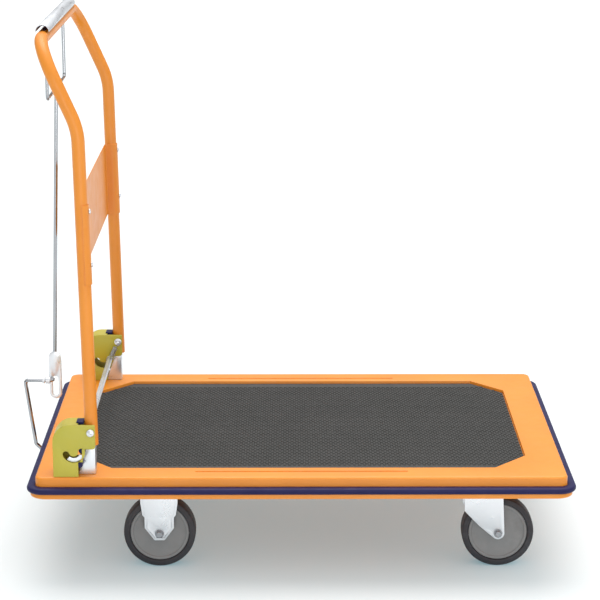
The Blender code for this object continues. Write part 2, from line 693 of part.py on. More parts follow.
def build_fork(name, side, axle_x, kind, frame, leg_outline, plate_high, head):
    """A folded sheet: two legs from a top plate, with the axle's hole through both."""
    plate_low = plate_high - PLATE_THICKNESS
    middle = side * CASTER_Y
    outline = [(axle_x + x, WHEEL_RADIUS + z) for x, z in leg_outline(plate_high - WHEEL_RADIUS)]
    fork = plate(f"{kind}_fork_{name}", outline, middle, 2 * FORK_OUTER)
    tall = plate_low + 2 * WHEEL_RADIUS
    room = (4 * WHEEL_RADIUS, 2 * FORK_INNER, tall)
    cut(fork, block(f"{kind}_fork_room_{name}", room, (axle_x, middle, plate_low - tall / 2)))
    if head:
        join(fork, head)
    hole = (axle_x, middle, WHEEL_RADIUS)
    cut(fork, cylinder_tool(f"{kind}_axle_hole_{name}", AXLE_RADIUS + GAP, 3 * FORK_OUTER, hole, (0, 1, 0)))
    return finish(fork, frame, "zinc")


def build_rigid_caster(name, side):
    middle = side * CASTER_Y
    wheel = empty_frame("rigid_wheel_frame_" + name, (RIGID_X, middle, WHEEL_RADIUS), cart)
    top = CASTER_PLATE_TOP
    size = (PLATE_LENGTH, PLATE_WIDTH, PLATE_THICKNESS)
    head_at = (RIGID_X, middle, top - PLATE_THICKNESS / 2)
    head = block("rigid_plate_" + name, size, head_at, PLATE_CORNER, corner_steps=3)
    finish(head, cart, None)
    build_fork(name, side, RIGID_X, "rigid", cart, rigid_leg_outline, top, head)
    build_axle(name, side, RIGID_X, "rigid", cart)
    build_wheel(name, side, RIGID_X, "rigid", wheel)


def build_swivel_caster(name, side):
    middle = side * CASTER_Y
    axle_x = SWIVEL_X + SWIVEL_TRAIL
    swivel = empty_frame("swivel_frame_" + name, (SWIVEL_X, middle, CASTER_PLATE_TOP), cart)
    wheel = empty_frame("swivel_wheel_frame_" + name, (axle_x, middle, WHEEL_RADIUS), swivel)
    top = CASTER_PLATE_TOP
    size = (PLATE_LENGTH, PLATE_WIDTH, PLATE_THICKNESS)
    mount_at = (SWIVEL_X, middle, top - PLATE_THICKNESS / 2)
    mount = block("swivel_plate_" + name, size, mount_at, PLATE_CORNER, corner_steps=3)
    race_low = top - PLATE_THICKNESS - RACE_HEIGHT
    race_at = (SWIVEL_X, middle, top - PLATE_THICKNESS / 2 - RACE_HEIGHT / 2)
    race_height = RACE_HEIGHT + PLATE_THICKNESS
    join(mount, cylinder_tool("race_" + name, RACE_RADIUS, race_height, race_at, (0, 0, 1), 24))
    bore = KINGPIN_RADIUS + GAP
    cut(mount, cylinder_tool("race_hole_" + name, bore, 4 * RACE_HEIGHT, race_at, (0, 0, 1)))
    finish(mount, cart, "zinc")
    head_top = race_low - RUNNING_FIT
    fork = build_fork(name, side, axle_x, "swivel", swivel, swivel_leg_outline, head_top, None)
    pin_at = (SWIVEL_X, middle, head_top)
    bore = KINGPIN_RADIUS + RUNNING_FIT
    cut(fork, cylinder_tool("kingpin_hole_" + name, bore, 4 * PLATE_THICKNESS, pin_at, (0, 0, 1)))
    build_kingpin(name, (SWIVEL_X, middle, top), head_top - PLATE_THICKNESS - RUNNING_FIT - top)
    build_axle(name, side, axle_x, "swivel", swivel)
    build_wheel(name, side, axle_x, "swivel", wheel)


def build_kingpin(name, at, head_high):
    """A pin from the mounting plate down through the fork, with its head under the fork."""
    low = head_high - KINGPIN_HEAD
    profile = [(0, 0), (KINGPIN_RADIUS, 0), (KINGPIN_RADIUS, head_high), (KINGPIN_HEAD_RADIUS, head_high)]
    profile += [(KINGPIN_HEAD_RADIUS, low), (0, low)]
    finish(turned("kingpin_" + name, profile, 0), cart, "zinc", at)


# Handle


def post_point(along, side, forward=0.0):
    """A point on a post's axis, at a distance along it from the pivot."""
    x = PIVOT_X - along * math.sin(LEAN) + forward * math.cos(LEAN)
    return Vector((x, side * POST_Y, PIVOT[2] + along * math.cos(LEAN) + forward * math.sin(LEAN)))


def handle_corners(tail):
    top_z = DECK_TOP + HANDLE_HEIGHT
    near = [post_point(-tail, -1), post_point(KINK_HEIGHT, -1), Vector((TOP_BAR_X, -POST_Y, top_z))]
    far = [Vector((TOP_BAR_X, POST_Y, top_z)), post_point(KINK_HEIGHT, 1), post_point(-tail, 1)]
    return near + far


def build_handle_tube():
    bends = (KINK_BEND, TOP_BEND, TOP_BEND, KINK_BEND)
    tube = wire("handle_tube", rounded_path(handle_corners(TAIL), bends, 6), TUBE_RADIUS, TUBE_SIDES)
    inner = rounded_path(handle_corners(2 * TAIL), bends, 6)
    cut(tube, wire("tube_inside", inner, TUBE_RADIUS - TUBE_WALL, TUBE_SIDES))
    for name, side in SIDES:
        pivot = (PIVOT_X, side * POST_Y, PIVOT[2])
        radius = PIVOT_BOLT_RADIUS + RUNNING_FIT
        cut(tube, cylinder_tool("bolt_hole_" + name, radius, 4 * TUBE_RADIUS, pivot, (0, 1, 0)))
        arm = (ARM_X, side * ARM_Y, DECK_TOP + HANDLE_HEIGHT)
        radius = ARM_RADIUS + ARM_FIT + BUSH_WALL + GAP
        cut(tube, cylinder_tool("bush_hole_" + name, radius, 4 * TUBE_RADIUS, arm, (0, 0, 1)))
        for number, height in enumerate(SCREW_HEIGHTS, 1):
            cut(tube, screw_hole(f"tube_screw_hole_{name}_{number}", side, height))
    finish(tube, handle, "orange")


def screw_hole(name, side, height):
    """A hole through a post's front wall and the panel's saddle."""
    axis = (math.cos(LEAN), 0, math.sin(LEAN))
    centre = post_point(height, side, TUBE_RADIUS)
    return cylinder_tool(name, SCREW_RADIUS + GAP, TUBE_RADIUS, centre, axis, 12)


def panel_path():
    """Half of the panel's section in (x, y): round the post's outside and front, back along its inner side,
    and across to the middle."""
    radius = TUBE_RADIUS + GAP + PANEL_SHEET / 2
    saddle = arc((0, -POST_Y), radius, -PANEL_WRAP, PANEL_WRAP + math.pi / 2, 9)
    step = -POST_Y + radius
    bend = arc((PANEL_BEND - PANEL_BACK, step + PANEL_BEND), PANEL_BEND, -math.pi / 2, -math.pi / 2, 3)
    return saddle + bend + [(-PANEL_BACK, 0)]


def build_panel():
    half = panel_path()
    path = half[:-1] + [(x, -y) for x, y in reversed(half[:-1])]
    bm = bmesh.new()
    rows = [[bm.verts.new((x, y, z)) for z in (PANEL_LOW, PANEL_HIGH)] for x, y in path]
    for (a, b), (c, d) in zip(rows, rows[1:]):
        bm.faces.new((a, b, d, c))
    panel = solidify(mesh_object("handle_panel", bm), PANEL_SHEET)
    for name, side in SIDES:
        for number, height in enumerate(SCREW_HEIGHTS, 1):
            centre = (TUBE_RADIUS, side * POST_Y, height)
            tool_name = f"panel_hole_{name}_{number}"
            hole = cylinder_tool(tool_name, SCREW_RADIUS + GAP, TUBE_RADIUS, centre, (1, 0, 0), 12)
            hole.parent = posts
            cut(panel, hole)
    panel.parent = posts
    paint(panel, "orange")


def build_panel_screws():
    head_low = TUBE_RADIUS + PANEL_SHEET + 2 * GAP
    high = head_low + SCREW_HEAD
    profile = [(0, high), (SCREW_HEAD_RADIUS * 0.6, high), (SCREW_HEAD_RADIUS, head_low + SCREW_HEAD * 0.4)]
    profile += [(SCREW_HEAD_RADIUS, head_low), (SCREW_RADIUS, head_low)]
    profile += [(SCREW_RADIUS, head_low - SCREW_REACH)]
    profile += [(0, head_low - SCREW_REACH)]
    for name, side in SIDES:
        for number, height in enumerate(SCREW_HEIGHTS, 1):
            screw = turned(f"panel_screw_{name}_{number}", profile, 0, 12)
            screw.parent = posts
            screw.location = (0, side * POST_Y, height)
            screw.rotation_euler = (0, math.pi / 2, 0)
            paint(screw, "zinc")


# Latch


def build_latch_bar():
    half = BRACKET_OUTER - BRACKET_SHEET - BAR_END_GAP
    bar = turned("latch_bar", bar_profile(BAR_RADIUS, -half, half), 1)
    finish(bar, latch, "zinc", (BAR_X, 0, DECK_TOP + BAR_Z))


def build_latch_spring(name, side):
    """A tension spring from the pivot bolt's tip to the latch bar, with a hook at each end."""
    y = side * (BRACKET_INNER - SPRING_Y_OUT)
    top = Vector((PIVOT_X, y, PIVOT[2]))
    foot = Vector((BAR_X, y, DECK_TOP + BAR_Z))
    along = (foot - top).normalized()
    out = Vector((0, side, 0))
    across = along.cross(out)
    clear = PIVOT_BOLT_RADIUS + GAP + SPRING_WIRE
    start = top + along * (clear + 2 * SPRING_HOOK)
    length = (foot - top).length - clear - BAR_RADIUS - SPRING_CLEAR
    points = [top + along * clear, top + along * (clear + SPRING_HOOK)]
    per_turn = 8
    count = SPRING_TURNS * per_turn
    for i in range(count + 1):
        angle = 2 * math.pi * i / per_turn
        round_it = out * math.cos(angle) + across * math.sin(angle)
        points.append(start + along * (length * i / count) + round_it * SPRING_RADIUS)
    points += [start + along * (length + SPRING_HOOK), foot - along * (BAR_RADIUS + GAP + SPRING_WIRE)]
    finish(wire("latch_spring_" + name, points, SPRING_WIRE, 6), cart, "steel")


# Brake


def build_grip():
    """A half-round shell over the top bar, open below and at both ends."""
    radius = GRIP_RADIUS - GRIP_SHEET / 2
    path = arc((TOP_BAR_X, GRIP_CENTRE_Z), radius, 0, math.pi, 12)
    finish(strip("brake_grip", path, 2 * GRIP_HALF, GRIP_SHEET), brake, "grip")


def build_yoke():
    reach = TOP_BAR_X - ARM_X + ARM_RADIUS
    top = GRIP_CENTRE_Z + math.sqrt((GRIP_RADIUS - GRIP_SHEET) ** 2 - reach**2) - 2 * GAP
    low = DECK_TOP + YOKE_LOW
    corners = [(ARM_X, -ARM_Y, top), (ARM_X, -ARM_Y, low), (ARM_X, ARM_Y, low), (ARM_X, ARM_Y, top)]
    yoke = wire("brake_yoke", rounded_path(corners, (YOKE_BEND, YOKE_BEND), 4), ARM_RADIUS, 10)
    finish(yoke, brake, "chrome")


def build_guide_bush(name, side):
    """A flanged sleeve for the yoke's arm, in the hole through the top bar."""
    bore = ARM_RADIUS + ARM_FIT
    outer = bore + BUSH_WALL
    high = TUBE_RADIUS * 0.75
    flange_high = -TUBE_RADIUS - GAP
    flange_low = flange_high - BUSH_FLANGE
    profile = [(outer, high), (outer, flange_high), (BUSH_FLANGE_RADIUS, flange_high)]
    profile += [(BUSH_FLANGE_RADIUS, flange_low), (bore, flange_low), (bore, high)]
    at = (ARM_X, side * ARM_Y, DECK_TOP + HANDLE_HEIGHT)
    finish(turned("guide_bush_" + name, profile, 0, 14), handle, "steel", at)


def build_rod():
    top = (ARM_X, 0, DECK_TOP + YOKE_LOW - ARM_RADIUS - GAP)
    foot = (ROD_FOOT_X, 0, DECK_TOP + STRAP_TOP + GAP)
    finish(wire("brake_rod", [top, foot], ROD_RADIUS, 12), brake, "chrome")


def build_strap():
    """The flat end of the rod, with a slot for the crank's hook."""
    half = STRAP_WIDTH / 2
    low, high = DECK_TOP + STRAP_BOTTOM, DECK_TOP + STRAP_TOP
    outline = arc((ROD_FOOT_X, low + half), half, math.pi, math.pi, 8)
    outline += arc((ROD_FOOT_X, high - half), half, 0, math.pi, 8)
    strap = plate("rod_strap", outline, 0, STRAP_THICKNESS)
    narrow = STRAP_SLOT_WIDTH / 2
    slot = arc((ROD_FOOT_X, DECK_TOP + STRAP_SLOT_BOTTOM + narrow), narrow, math.pi, math.pi, 6)
    slot += arc((ROD_FOOT_X, DECK_TOP + STRAP_SLOT_TOP - narrow), narrow, 0, math.pi, 6)
    cut(strap, plate("strap_slot", slot, 0, 3 * STRAP_THICKNESS))
    finish(strap, brake, "zinc")


def crank_path():
    """The wire from its hook in the strap's slot, out, down and back under the deck to the shaft."""
    high, low = DECK_TOP + CRANK_HIGH, DECK_TOP + SHAFT_Z
    tip_y = -STRAP_THICKNESS / 2 - HOOK_GAP
    corners = [(CRANK_HOOK_X, tip_y, high), (CRANK_HOOK_X, CRANK_Y, high), (CRANK_OUT_X, CRANK_Y, high)]
    corners += [(CRANK_HEEL_X, CRANK_Y, DECK_TOP + CRANK_HEEL_Z), (CRANK_TURN_X, CRANK_Y, low)]
    corners += [(SHAFT_X - SHAFT_RADIUS - GAP, CRANK_Y, low)]
    return rounded_path(corners, (CRANK_HOOK_BEND, CRANK_BEND, CRANK_BEND, CRANK_BEND), 4)


def cart_shift():
    """How far the deck's middle is from the whole object's middle, because the crank stands out behind."""
    back = min(point.x for point in crank_path()) - CRANK_RADIUS
    return -(back + DECK_LENGTH / 2 + BUMPER_OUT) / 2


def build_crank():
    finish(wire("brake_crank", crank_path(), CRANK_RADIUS, 10), shaft, "chrome")
    high = DECK_TOP + CRANK_HIGH
    profile = ring_profile(CRANK_RADIUS + GAP, COLLAR_RADIUS, -COLLAR_LENGTH / 2, COLLAR_LENGTH / 2)
    collar = turned("crank_collar", profile, 0)
    collar.rotation_euler = (0, math.pi / 2, 0)
    finish(collar, shaft, "zinc", (COLLAR_X, CRANK_Y, high))


def build_brake_shaft():
    profile = bar_profile(SHAFT_RADIUS, -SHAFT_HALF, SHAFT_HALF)
    finish(turned("brake_shaft", profile, 1), shaft, "steel", SHAFT)


def build_shoe(name, side):
    """A bent lever from the shaft to the tyre, and the rubber pad under its end."""
    normal = Vector((math.cos(SHOE_ANGLE), math.sin(SHOE_ANGLE)))
    tangent = Vector((normal.y, -normal.x))
    contact = Vector((RIGID_X, WHEEL_RADIUS)) + normal * (WHEEL_RADIUS + PAD_GAP)
    back = contact + normal * (PAD_THICKNESS + GAP + SHOE_SHEET / 2)
    heel, toe = back - tangent * SHOE_HALF, back + tangent * SHOE_HALF
    centre = Vector((SHAFT[0], SHAFT[2]))
    start = centre + (heel - centre).normalized() * (SHAFT_RADIUS + SHOE_COLLAR_RADIUS) / 2
    y = side * CASTER_Y
    lever = strip("shoe_lever_" + name, [start, heel, toe], SHOE_COLLAR_LENGTH, SHOE_SHEET, y)
    finish(lever, shaft, None)
    length = SHOE_COLLAR_LENGTH / 2
    profile = ring_profile(SHAFT_RADIUS + GAP, SHOE_COLLAR_RADIUS, -length, length)
    shoe = turned("brake_shoe_" + name, profile, side, 20)
    finish(shoe, shaft, "steel", (SHAFT[0], y, SHAFT[2]))
    join(shoe, lever)
    half = tangent * SHOE_HALF
    corners = (contact - half, contact + half, contact + half + normal * PAD_THICKNESS)
    outline = [tuple(point) for point in (*corners, contact - half + normal * PAD_THICKNESS)]
    finish(plate("shoe_pad_" + name, outline, y, PAD_WIDTH), shaft, "tyre")


def build_bearing(name, side):
    """A hanger plate under the pan, with the shaft's bore."""
    top = DECK_TOP - RECESS_DEPTH - SHEET - GAP
    low = SHAFT[2] - BEARING_BELOW
    half = BEARING_WIDTH / 2
    outline = [(SHAFT_X - half, top), (SHAFT_X - half, low + half)]
    outline += arc((SHAFT_X, low + half), half, math.pi, math.pi, 8)[1:] + [(SHAFT_X + half, top)]
    y = side * BEARING_Y
    bearing = plate("brake_bearing_" + name, outline, y, BEARING_SHEET)
    centre = (SHAFT_X, y, SHAFT[2])
    bore = SHAFT_RADIUS + GAP
    cut(bearing, cylinder_tool("bearing_bore_" + name, bore, 3 * BEARING_SHEET, centre, (0, 1, 0)))
    finish(bearing, cart, "steel")


def build_return_spring():
    """The torsion spring wound round the brake shaft."""
    radius = SHAFT_RADIUS + GAP + 2 * SPRING_WIRE
    per_turn = 8
    count = RETURN_SPRING_TURNS * per_turn
    points = [Vector((SHAFT_X + radius, RETURN_SPRING_Y, SHAFT[2] + RETURN_SPRING_LEG))]
    for i in range(count + 1):
        angle = 2 * math.pi * i / per_turn
        y = RETURN_SPRING_Y + RETURN_SPRING_PITCH * i / per_turn
        points.append(Vector((SHAFT_X + radius * math.cos(angle), y, SHAFT[2] - radius * math.sin(angle))))
    points.append(points[-1] + Vector((0, 0, RETURN_SPRING_LEG)))
    finish(wire("brake_spring", points, SPRING_WIRE, 6), cart, "steel")


clear_scene()
parts = new_collection("folding_platform_cart")
helpers = new_collection("helpers")
cart = empty_frame("cart", (0, 0, 0))
cart.location = (cart_shift(), 0, 0)
handle = empty_frame("handle_frame", PIVOT, cart)
posts = empty_frame("post_frame", PIVOT, handle)
posts.rotation_euler = (0, -LEAN, 0)
brake = empty_frame("brake_frame", (TOP_BAR_X, 0, GRIP_CENTRE_Z), handle)
latch = empty_frame("latch_frame", SLOT_CENTRE, cart)
shaft = empty_frame("shaft_frame", SHAFT, cart)

build_pan()
build_mat()
build_bumper()
for side_name, side_sign in SIDES:
    build_channel(side_name, side_sign)
    build_bracket(side_name, side_sign)
    build_pedestal(side_name, side_sign)
    build_buffer(side_name, side_sign)
    build_pivot_bolt(side_name, side_sign)
    build_rigid_caster(side_name, side_sign)
    build_swivel_caster(side_name, side_sign)
    build_latch_spring(side_name, side_sign)
    build_guide_bush(side_name, side_sign)
    build_shoe(side_name, side_sign)
    build_bearing(side_name, side_sign)
build_handle_tube()
build_panel()
build_panel_screws()
build_latch_bar()
build_grip()
build_yoke()
build_rod()
build_strap()
build_crank()
build_brake_shaft()
build_return_spring()
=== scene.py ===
"""The looks of the folding platform cart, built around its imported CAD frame.

Metres, +Z up, handle at -X. Shapes are written in the deck's own coordinates, whose origin is the middle of
the deck's top, and Piece.done() moves them into the frame."""

import math

import bmesh
import bpy
from mathutils import Matrix, Vector


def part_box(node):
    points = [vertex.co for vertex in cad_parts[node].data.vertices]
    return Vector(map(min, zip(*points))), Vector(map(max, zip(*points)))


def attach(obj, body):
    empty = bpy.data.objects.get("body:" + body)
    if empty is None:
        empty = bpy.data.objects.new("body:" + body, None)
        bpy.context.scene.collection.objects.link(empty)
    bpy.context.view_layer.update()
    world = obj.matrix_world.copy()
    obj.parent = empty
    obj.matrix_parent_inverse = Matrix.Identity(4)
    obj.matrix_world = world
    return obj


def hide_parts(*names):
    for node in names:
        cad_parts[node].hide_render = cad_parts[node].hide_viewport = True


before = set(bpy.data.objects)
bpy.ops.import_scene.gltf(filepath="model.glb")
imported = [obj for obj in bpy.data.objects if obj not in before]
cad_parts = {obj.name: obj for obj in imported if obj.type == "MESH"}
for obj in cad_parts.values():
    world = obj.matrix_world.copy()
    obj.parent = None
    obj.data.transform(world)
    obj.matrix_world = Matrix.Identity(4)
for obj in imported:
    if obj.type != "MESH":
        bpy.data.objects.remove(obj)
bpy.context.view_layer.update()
pan_low, pan_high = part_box("deck_pan")
DECK = Vector(((pan_low.x + pan_high.x) / 2, 0, pan_high.z))
tyre_low, tyre_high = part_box("rigid_tyre_near")
AXLE_Z = (tyre_low.z + tyre_high.z) / 2 - DECK.z
CASTER_Y = -(tyre_low.y + tyre_high.y) / 2
SIDES = (("near", -1), ("far", 1))
GAP = 0.0003
LEAN = math.radians(1)
PIVOT = Vector((-0.354, 0, 0.078))
POST_Y = 0.277
TUBE = 0.011  # radius
DECK_HALF_X, DECK_HALF_Y, DECK_CORNER = 0.45, 0.30, 0.014
BRACKET_OUT, BRACKET_IN = 0.298, 0.256
BRACKET_BACK, BRACKET_FRONT, BRACKET_HEIGHT = -0.418, -0.346, 0.092
BRACKET_CORNER, BRACKET_SHEET = 0.030, 0.0025
RIGID_X, SWIVEL_X, SWIVEL_AXLE_X = -0.246, 0.311, 0.341  # rigid axle, kingpin and swivel axle
BAR_AXIS_X, TOP_BAR_Z = -0.424, 0.728
ARM_X, ARM_Y = -0.428, 0.130
SHAFT = Vector((-0.330, 0, -0.050))
BAR_X, BAR_Z = -0.370, 0.045
SLOT = (-0.3832, 0.0442)  # the centre of the latch slot's curve, in X and Z
SLOT_RADIUS = math.hypot(BAR_X - SLOT[0], BAR_Z - SLOT[1])
SLOT_START = math.atan2(BAR_Z - SLOT[1], BAR_X - SLOT[0])
SLOT_TURN = -math.radians(167)
RECESS = 0.0060  # the mat lies in a recess this deep
UNDERSIDE = -RECESS - 0.0018  # what hangs under the deck starts here
PLATE_TOP = -0.0333  # the casters' mounting plates
PLATE_HALF_X, PLATE_HALF_Y = 0.0475, 0.028

# Camera, floor and lights


def look(point, direction):
    """A matrix at point whose -Z looks along the direction."""
    rotation = Vector(direction).to_track_quat("-Z", "Y").to_matrix().to_4x4()
    return Matrix.Translation(Vector(point)) @ rotation


CAMERA_AT = Vector((-0.0154, -3.4904, 1.1533)) + DECK
CAMERA_PITCH, CAMERA_YAW = math.radians(14.823), math.radians(0.228)
camera = bpy.data.objects.new("camera", bpy.data.cameras.new("camera"))
bpy.context.scene.collection.objects.link(camera)
camera.data.lens = 120.4
camera.data.clip_end = 200
camera.matrix_world = look(
    CAMERA_AT,
    (
        math.sin(CAMERA_YAW) * math.cos(CAMERA_PITCH),
        math.cos(CAMERA_YAW) * math.cos(CAMERA_PITCH),
        -math.sin(CAMERA_PITCH),
    ),
)
bpy.context.scene.camera = camera
bpy.context.scene.view_settings.view_transform = "Standard"


def area_light(name, at, aim, size, power):
    light = bpy.data.lights.new(name, "AREA")
    light.shape = "RECTANGLE"
    light.size, light.size_y = size
    light.energy = power
    obj = bpy.data.objects.new(name, light)
    bpy.context.scene.collection.objects.link(obj)
    obj.matrix_world = look(at, Vector(aim) - Vector(at))


overhead = bpy.data.objects.new("overhead", bpy.data.lights.new("overhead", "SUN"))
bpy.context.scene.collection.objects.link(overhead)
overhead.data.energy, overhead.data.angle = 1.9, math.radians(50)
overhead.matrix_world = look((0, 0, 4), (0.0, -0.28, -1))
area_light("right_softbox", (3.2, -1.6, 2.0), (0, 0, 0.4), (0.9, 2.4), 9)
area_light("front_softbox", (0.4, -3.3, 0.6), (0, 0, 0.3), (2.4, 1.0), 20)


def build_world():
    """A white surround with a grey band at the horizon and a slightly darker left side."""
    world = bpy.data.worlds.new("studio")
    bpy.context.scene.world = world
    world.use_nodes = True
    tree = world.node_tree
    place = tree.nodes.new("ShaderNodeTexCoord")
    axes = tree.nodes.new("ShaderNodeSeparateXYZ")
    height = tree.nodes.new("ShaderNodeMapRange")
    band = tree.nodes.new("ShaderNodeValToRGB")
    side = tree.nodes.new("ShaderNodeMapRange")
    both = tree.nodes.new("ShaderNodeMath")
    both.operation = "MULTIPLY"
    tree.links.new(place.outputs["Generated"], axes.inputs["Vector"])
    tree.links.new(axes.outputs["Z"], height.inputs["Value"])
    height.inputs["From Min"].default_value, height.inputs["From Max"].default_value = -0.25, 1.0
    tree.links.new(height.outputs["Result"], band.inputs["Fac"])
    stops = band.color_ramp.elements
    stops[0].position, stops[1].position = 0.0, 1.0
    for position, tone in ((0.10, 0.60), (0.20, 0.22), (0.33, 0.24), (0.62, 0.80)):
        stops.new(position).color = (tone, tone, tone, 1)
    stops[0].color = stops[-1].color = (1, 1, 1, 1)
    tree.links.new(axes.outputs["X"], side.inputs["Value"])
    for socket, number in zip(("From Min", "From Max", "To Min", "To Max"), (-1.0, 0.2, 0.75, 1.0)):
        side.inputs[socket].default_value = number
    tree.links.new(band.outputs["Color"], both.inputs[0])
    tree.links.new(side.outputs["Result"], both.inputs[1])
    tree.links.new(both.outputs["Value"], tree.nodes["Background"].inputs["Color"])
    tree.nodes["Background"].inputs["Strength"].default_value = 1.38


build_world()

# Materials


class Graph:
    """A material's nodes: values are mixed by these calls and then plugged into the Principled shader."""

    def __init__(self, name, roughness=0.5, metallic=0.0, **constants):
        self.material = bpy.data.materials.new(name)
        self.material.use_nodes = True
        self.tree = self.material.node_tree
        self.shader = self.tree.nodes["Principled BSDF"]
        self.set("Roughness", roughness)
        self.set("Metallic", metallic)
        for socket, value in constants.items():
            self.set(socket.replace("_", " "), value)
        self.place = self.node("ShaderNodeTexCoord").outputs["Object"]

    def set(self, socket, value):
        self.shader.inputs[socket].default_value = value

    def node(self, kind, **inputs):
        node = self.tree.nodes.new(kind)
        for socket, value in inputs.items():
            self.plug(node.inputs[socket.replace("_", " ")], value)
        return node

    def plug(self, socket, value):
        if isinstance(value, bpy.types.NodeSocket):
            self.tree.links.new(value, socket)
        else:
            socket.default_value = value

    def stretched(self, scale):
        node = self.node("ShaderNodeMapping", Vector=self.place)
        node.inputs["Scale"].default_value = scale
        return node.outputs["Vector"]

    def noise(self, scale, detail, stretch=None, roughness=0.5):
        where = self.stretched(stretch) if stretch else self.place
        node = self.node("ShaderNodeTexNoise", Vector=where, Scale=scale, Detail=detail, Roughness=roughness)
        return node.outputs["Fac"]

    def cells(self, scale):
        return self.node("ShaderNodeTexVoronoi", Vector=self.place, Scale=scale).outputs["Distance"]

    def ramp(self, value, low, high, to_low=0.0, to_high=1.0):
        node = self.node("ShaderNodeMapRange", Value=value)
        for socket, number in zip(("From Min", "From Max", "To Min", "To Max"), (low, high, to_low, to_high)):
            node.inputs[socket].default_value = number
        return node.outputs["Result"]

    def mix(self, factor, first, second):
        node = self.tree.nodes.new("ShaderNodeMix")
        node.data_type = "RGBA"
        self.plug(node.inputs["Factor"], factor)
        self.plug(node.inputs[6], (*first, 1) if isinstance(first, tuple) else first)
        self.plug(node.inputs[7], (*second, 1) if isinstance(second, tuple) else second)
        return node.outputs[2]

    def math(self, operation, first, second):
        node = self.tree.nodes.new("ShaderNodeMath")
        node.operation = operation
        self.plug(node.inputs[0], first)
        self.plug(node.inputs[1], second)
        return node.outputs[0]

    def finish(self, colour, roughness=None, height=None, distance=0.0001, strength=0.4):
        self.plug(self.shader.inputs["Base Color"], colour)
        if roughness is not None:
            self.plug(self.shader.inputs["Roughness"], roughness)
        if height is not None:
            bump = self.node("ShaderNodeBump", Height=height, Strength=strength, Distance=distance)
            self.tree.links.new(bump.outputs["Normal"], self.shader.inputs["Normal"])
        return self.material


def dust(graph, amount):
    """A soft, patchy mask for dirt and handling marks."""
    broad = graph.ramp(graph.noise(6, 4), 0.42, 0.68)
    fine = graph.ramp(graph.noise(85, 5, roughness=0.65), 0.45, 0.72)
    return graph.math("MULTIPLY", graph.math("MULTIPLY", broad, fine), amount)


def powder_coat(name, main, deep, roughness):
    """Powder coat: fine orange peel, a little mottling, and dust in patches."""
    g = Graph(name, Specular_IOR_Level=0.5)
    colour = g.mix(g.ramp(g.noise(9, 4), 0.35, 0.65), main, deep)
    pale = tuple(0.92 * c + 0.05 for c in main)
    colour = g.mix(dust(g, 0.25), colour, pale)
    rough = g.ramp(g.noise(40, 5), 0.3, 0.7, roughness - 0.05, roughness + 0.07)
    peel = g.math("ADD", g.noise(420, 2), g.math("MULTIPLY", g.noise(1500, 2), 0.4))
    return g.finish(colour, rough, peel, 0.00012, 0.22)


def rubber(name, main, pale, roughness, grain=900, specular=0.35, soil=0.5):
    g = Graph(name, Specular_IOR_Level=specular)
    colour = g.mix(g.ramp(g.noise(14, 5), 0.35, 0.7), main, pale)
    colour = g.mix(dust(g, soil), colour, tuple(c * 1.6 + 0.02 for c in pale))
    rough = g.ramp(g.noise(60, 4), 0.3, 0.7, roughness - 0.08, roughness + 0.08)
    bump = g.math("ADD", g.noise(grain, 3), g.math("MULTIPLY", g.cells(grain * 0.5), 0.5))
    return g.finish(colour, rough, bump, 0.00015, 0.35)


def plated(name, main, dull, roughness, stretch=(1, 1, 1), streak=0.15, metallic=1.0, spangle=0.12):
    """Plated or drawn metal: fine streaks along the stretch, cloudy patches, and faint crystal facets."""
    g = Graph(name, metallic=metallic)
    cloud = g.ramp(g.noise(22, 5), 0.35, 0.68)
    facets = g.ramp(g.cells(260), 0.0, 0.8)
    colour = g.mix(g.math("MULTIPLY", cloud, 0.6), main, dull)
    colour = g.mix(g.math("MULTIPLY", facets, spangle), colour, dull)
    streaks = g.noise(180, 3, stretch)
    rough = g.math(
        "ADD",
        g.ramp(g.noise(35, 4), 0.3, 0.7, roughness - 0.05, roughness + 0.08),
        g.ramp(streaks, 0.3, 0.7, -streak * 0.3, streak * 0.3),
    )
    return g.finish(colour, rough, streaks, 0.00006, 0.18)


def moulded(name, main, pale, roughness):
    g = Graph(name, Specular_IOR_Level=0.4)
    colour = g.mix(g.ramp(g.noise(30, 5), 0.3, 0.7), main, pale)
    colour = g.mix(dust(g, 0.4), colour, tuple(c * 1.25 + 0.02 for c in pale))
    rough = g.ramp(g.noise(120, 3), 0.3, 0.7, roughness - 0.07, roughness + 0.07)
    return g.finish(colour, rough, g.noise(1400, 4), 0.00012, 0.3)


ORANGE = powder_coat("orange_powder_coat", (0.77, 0.262, 0.020), (0.73, 0.240, 0.016), 0.38)
OLIVE = powder_coat("bracket_coat", (0.43, 0.395, 0.045), (0.48, 0.40, 0.030), 0.40)
NAVY = rubber("bumper_rubber", (0.011, 0.009, 0.062), (0.015, 0.013, 0.070), 0.50, specular=0.22, soil=0.2)
MAT = rubber("mat_rubber", (0.052, 0.052, 0.050), (0.058, 0.057, 0.055), 0.82, 1100, soil=0.12)
TYRE = rubber("tyre_rubber", (0.030, 0.029, 0.034), (0.046, 0.045, 0.050), 0.62)
ZINC = plated("zinc_plate", (0.78, 0.80, 0.83), (0.71, 0.73, 0.76), 0.32, metallic=0.82)
BOLT = plated("bolt_plate", (0.34, 0.35, 0.37), (0.26, 0.27, 0.29), 0.30)
CHROME = plated("chrome_wire", (0.40, 0.41, 0.43), (0.34, 0.35, 0.37), 0.11, (1, 1, 0.1), 0.06, spangle=0.05)
GRIP = plated("grip_metal", (0.70, 0.72, 0.75), (0.62, 0.64, 0.67), 0.34, (1, 0.05, 1), 0.3, 0.55, 0.1)
HUB = moulded("hub_plastic", (0.205, 0.205, 0.205), (0.235, 0.235, 0.235), 0.50)
STEEL = plated("plain_steel", (0.46, 0.46, 0.47), (0.33, 0.33, 0.34), 0.38, (1, 0.1, 1), 0.2)

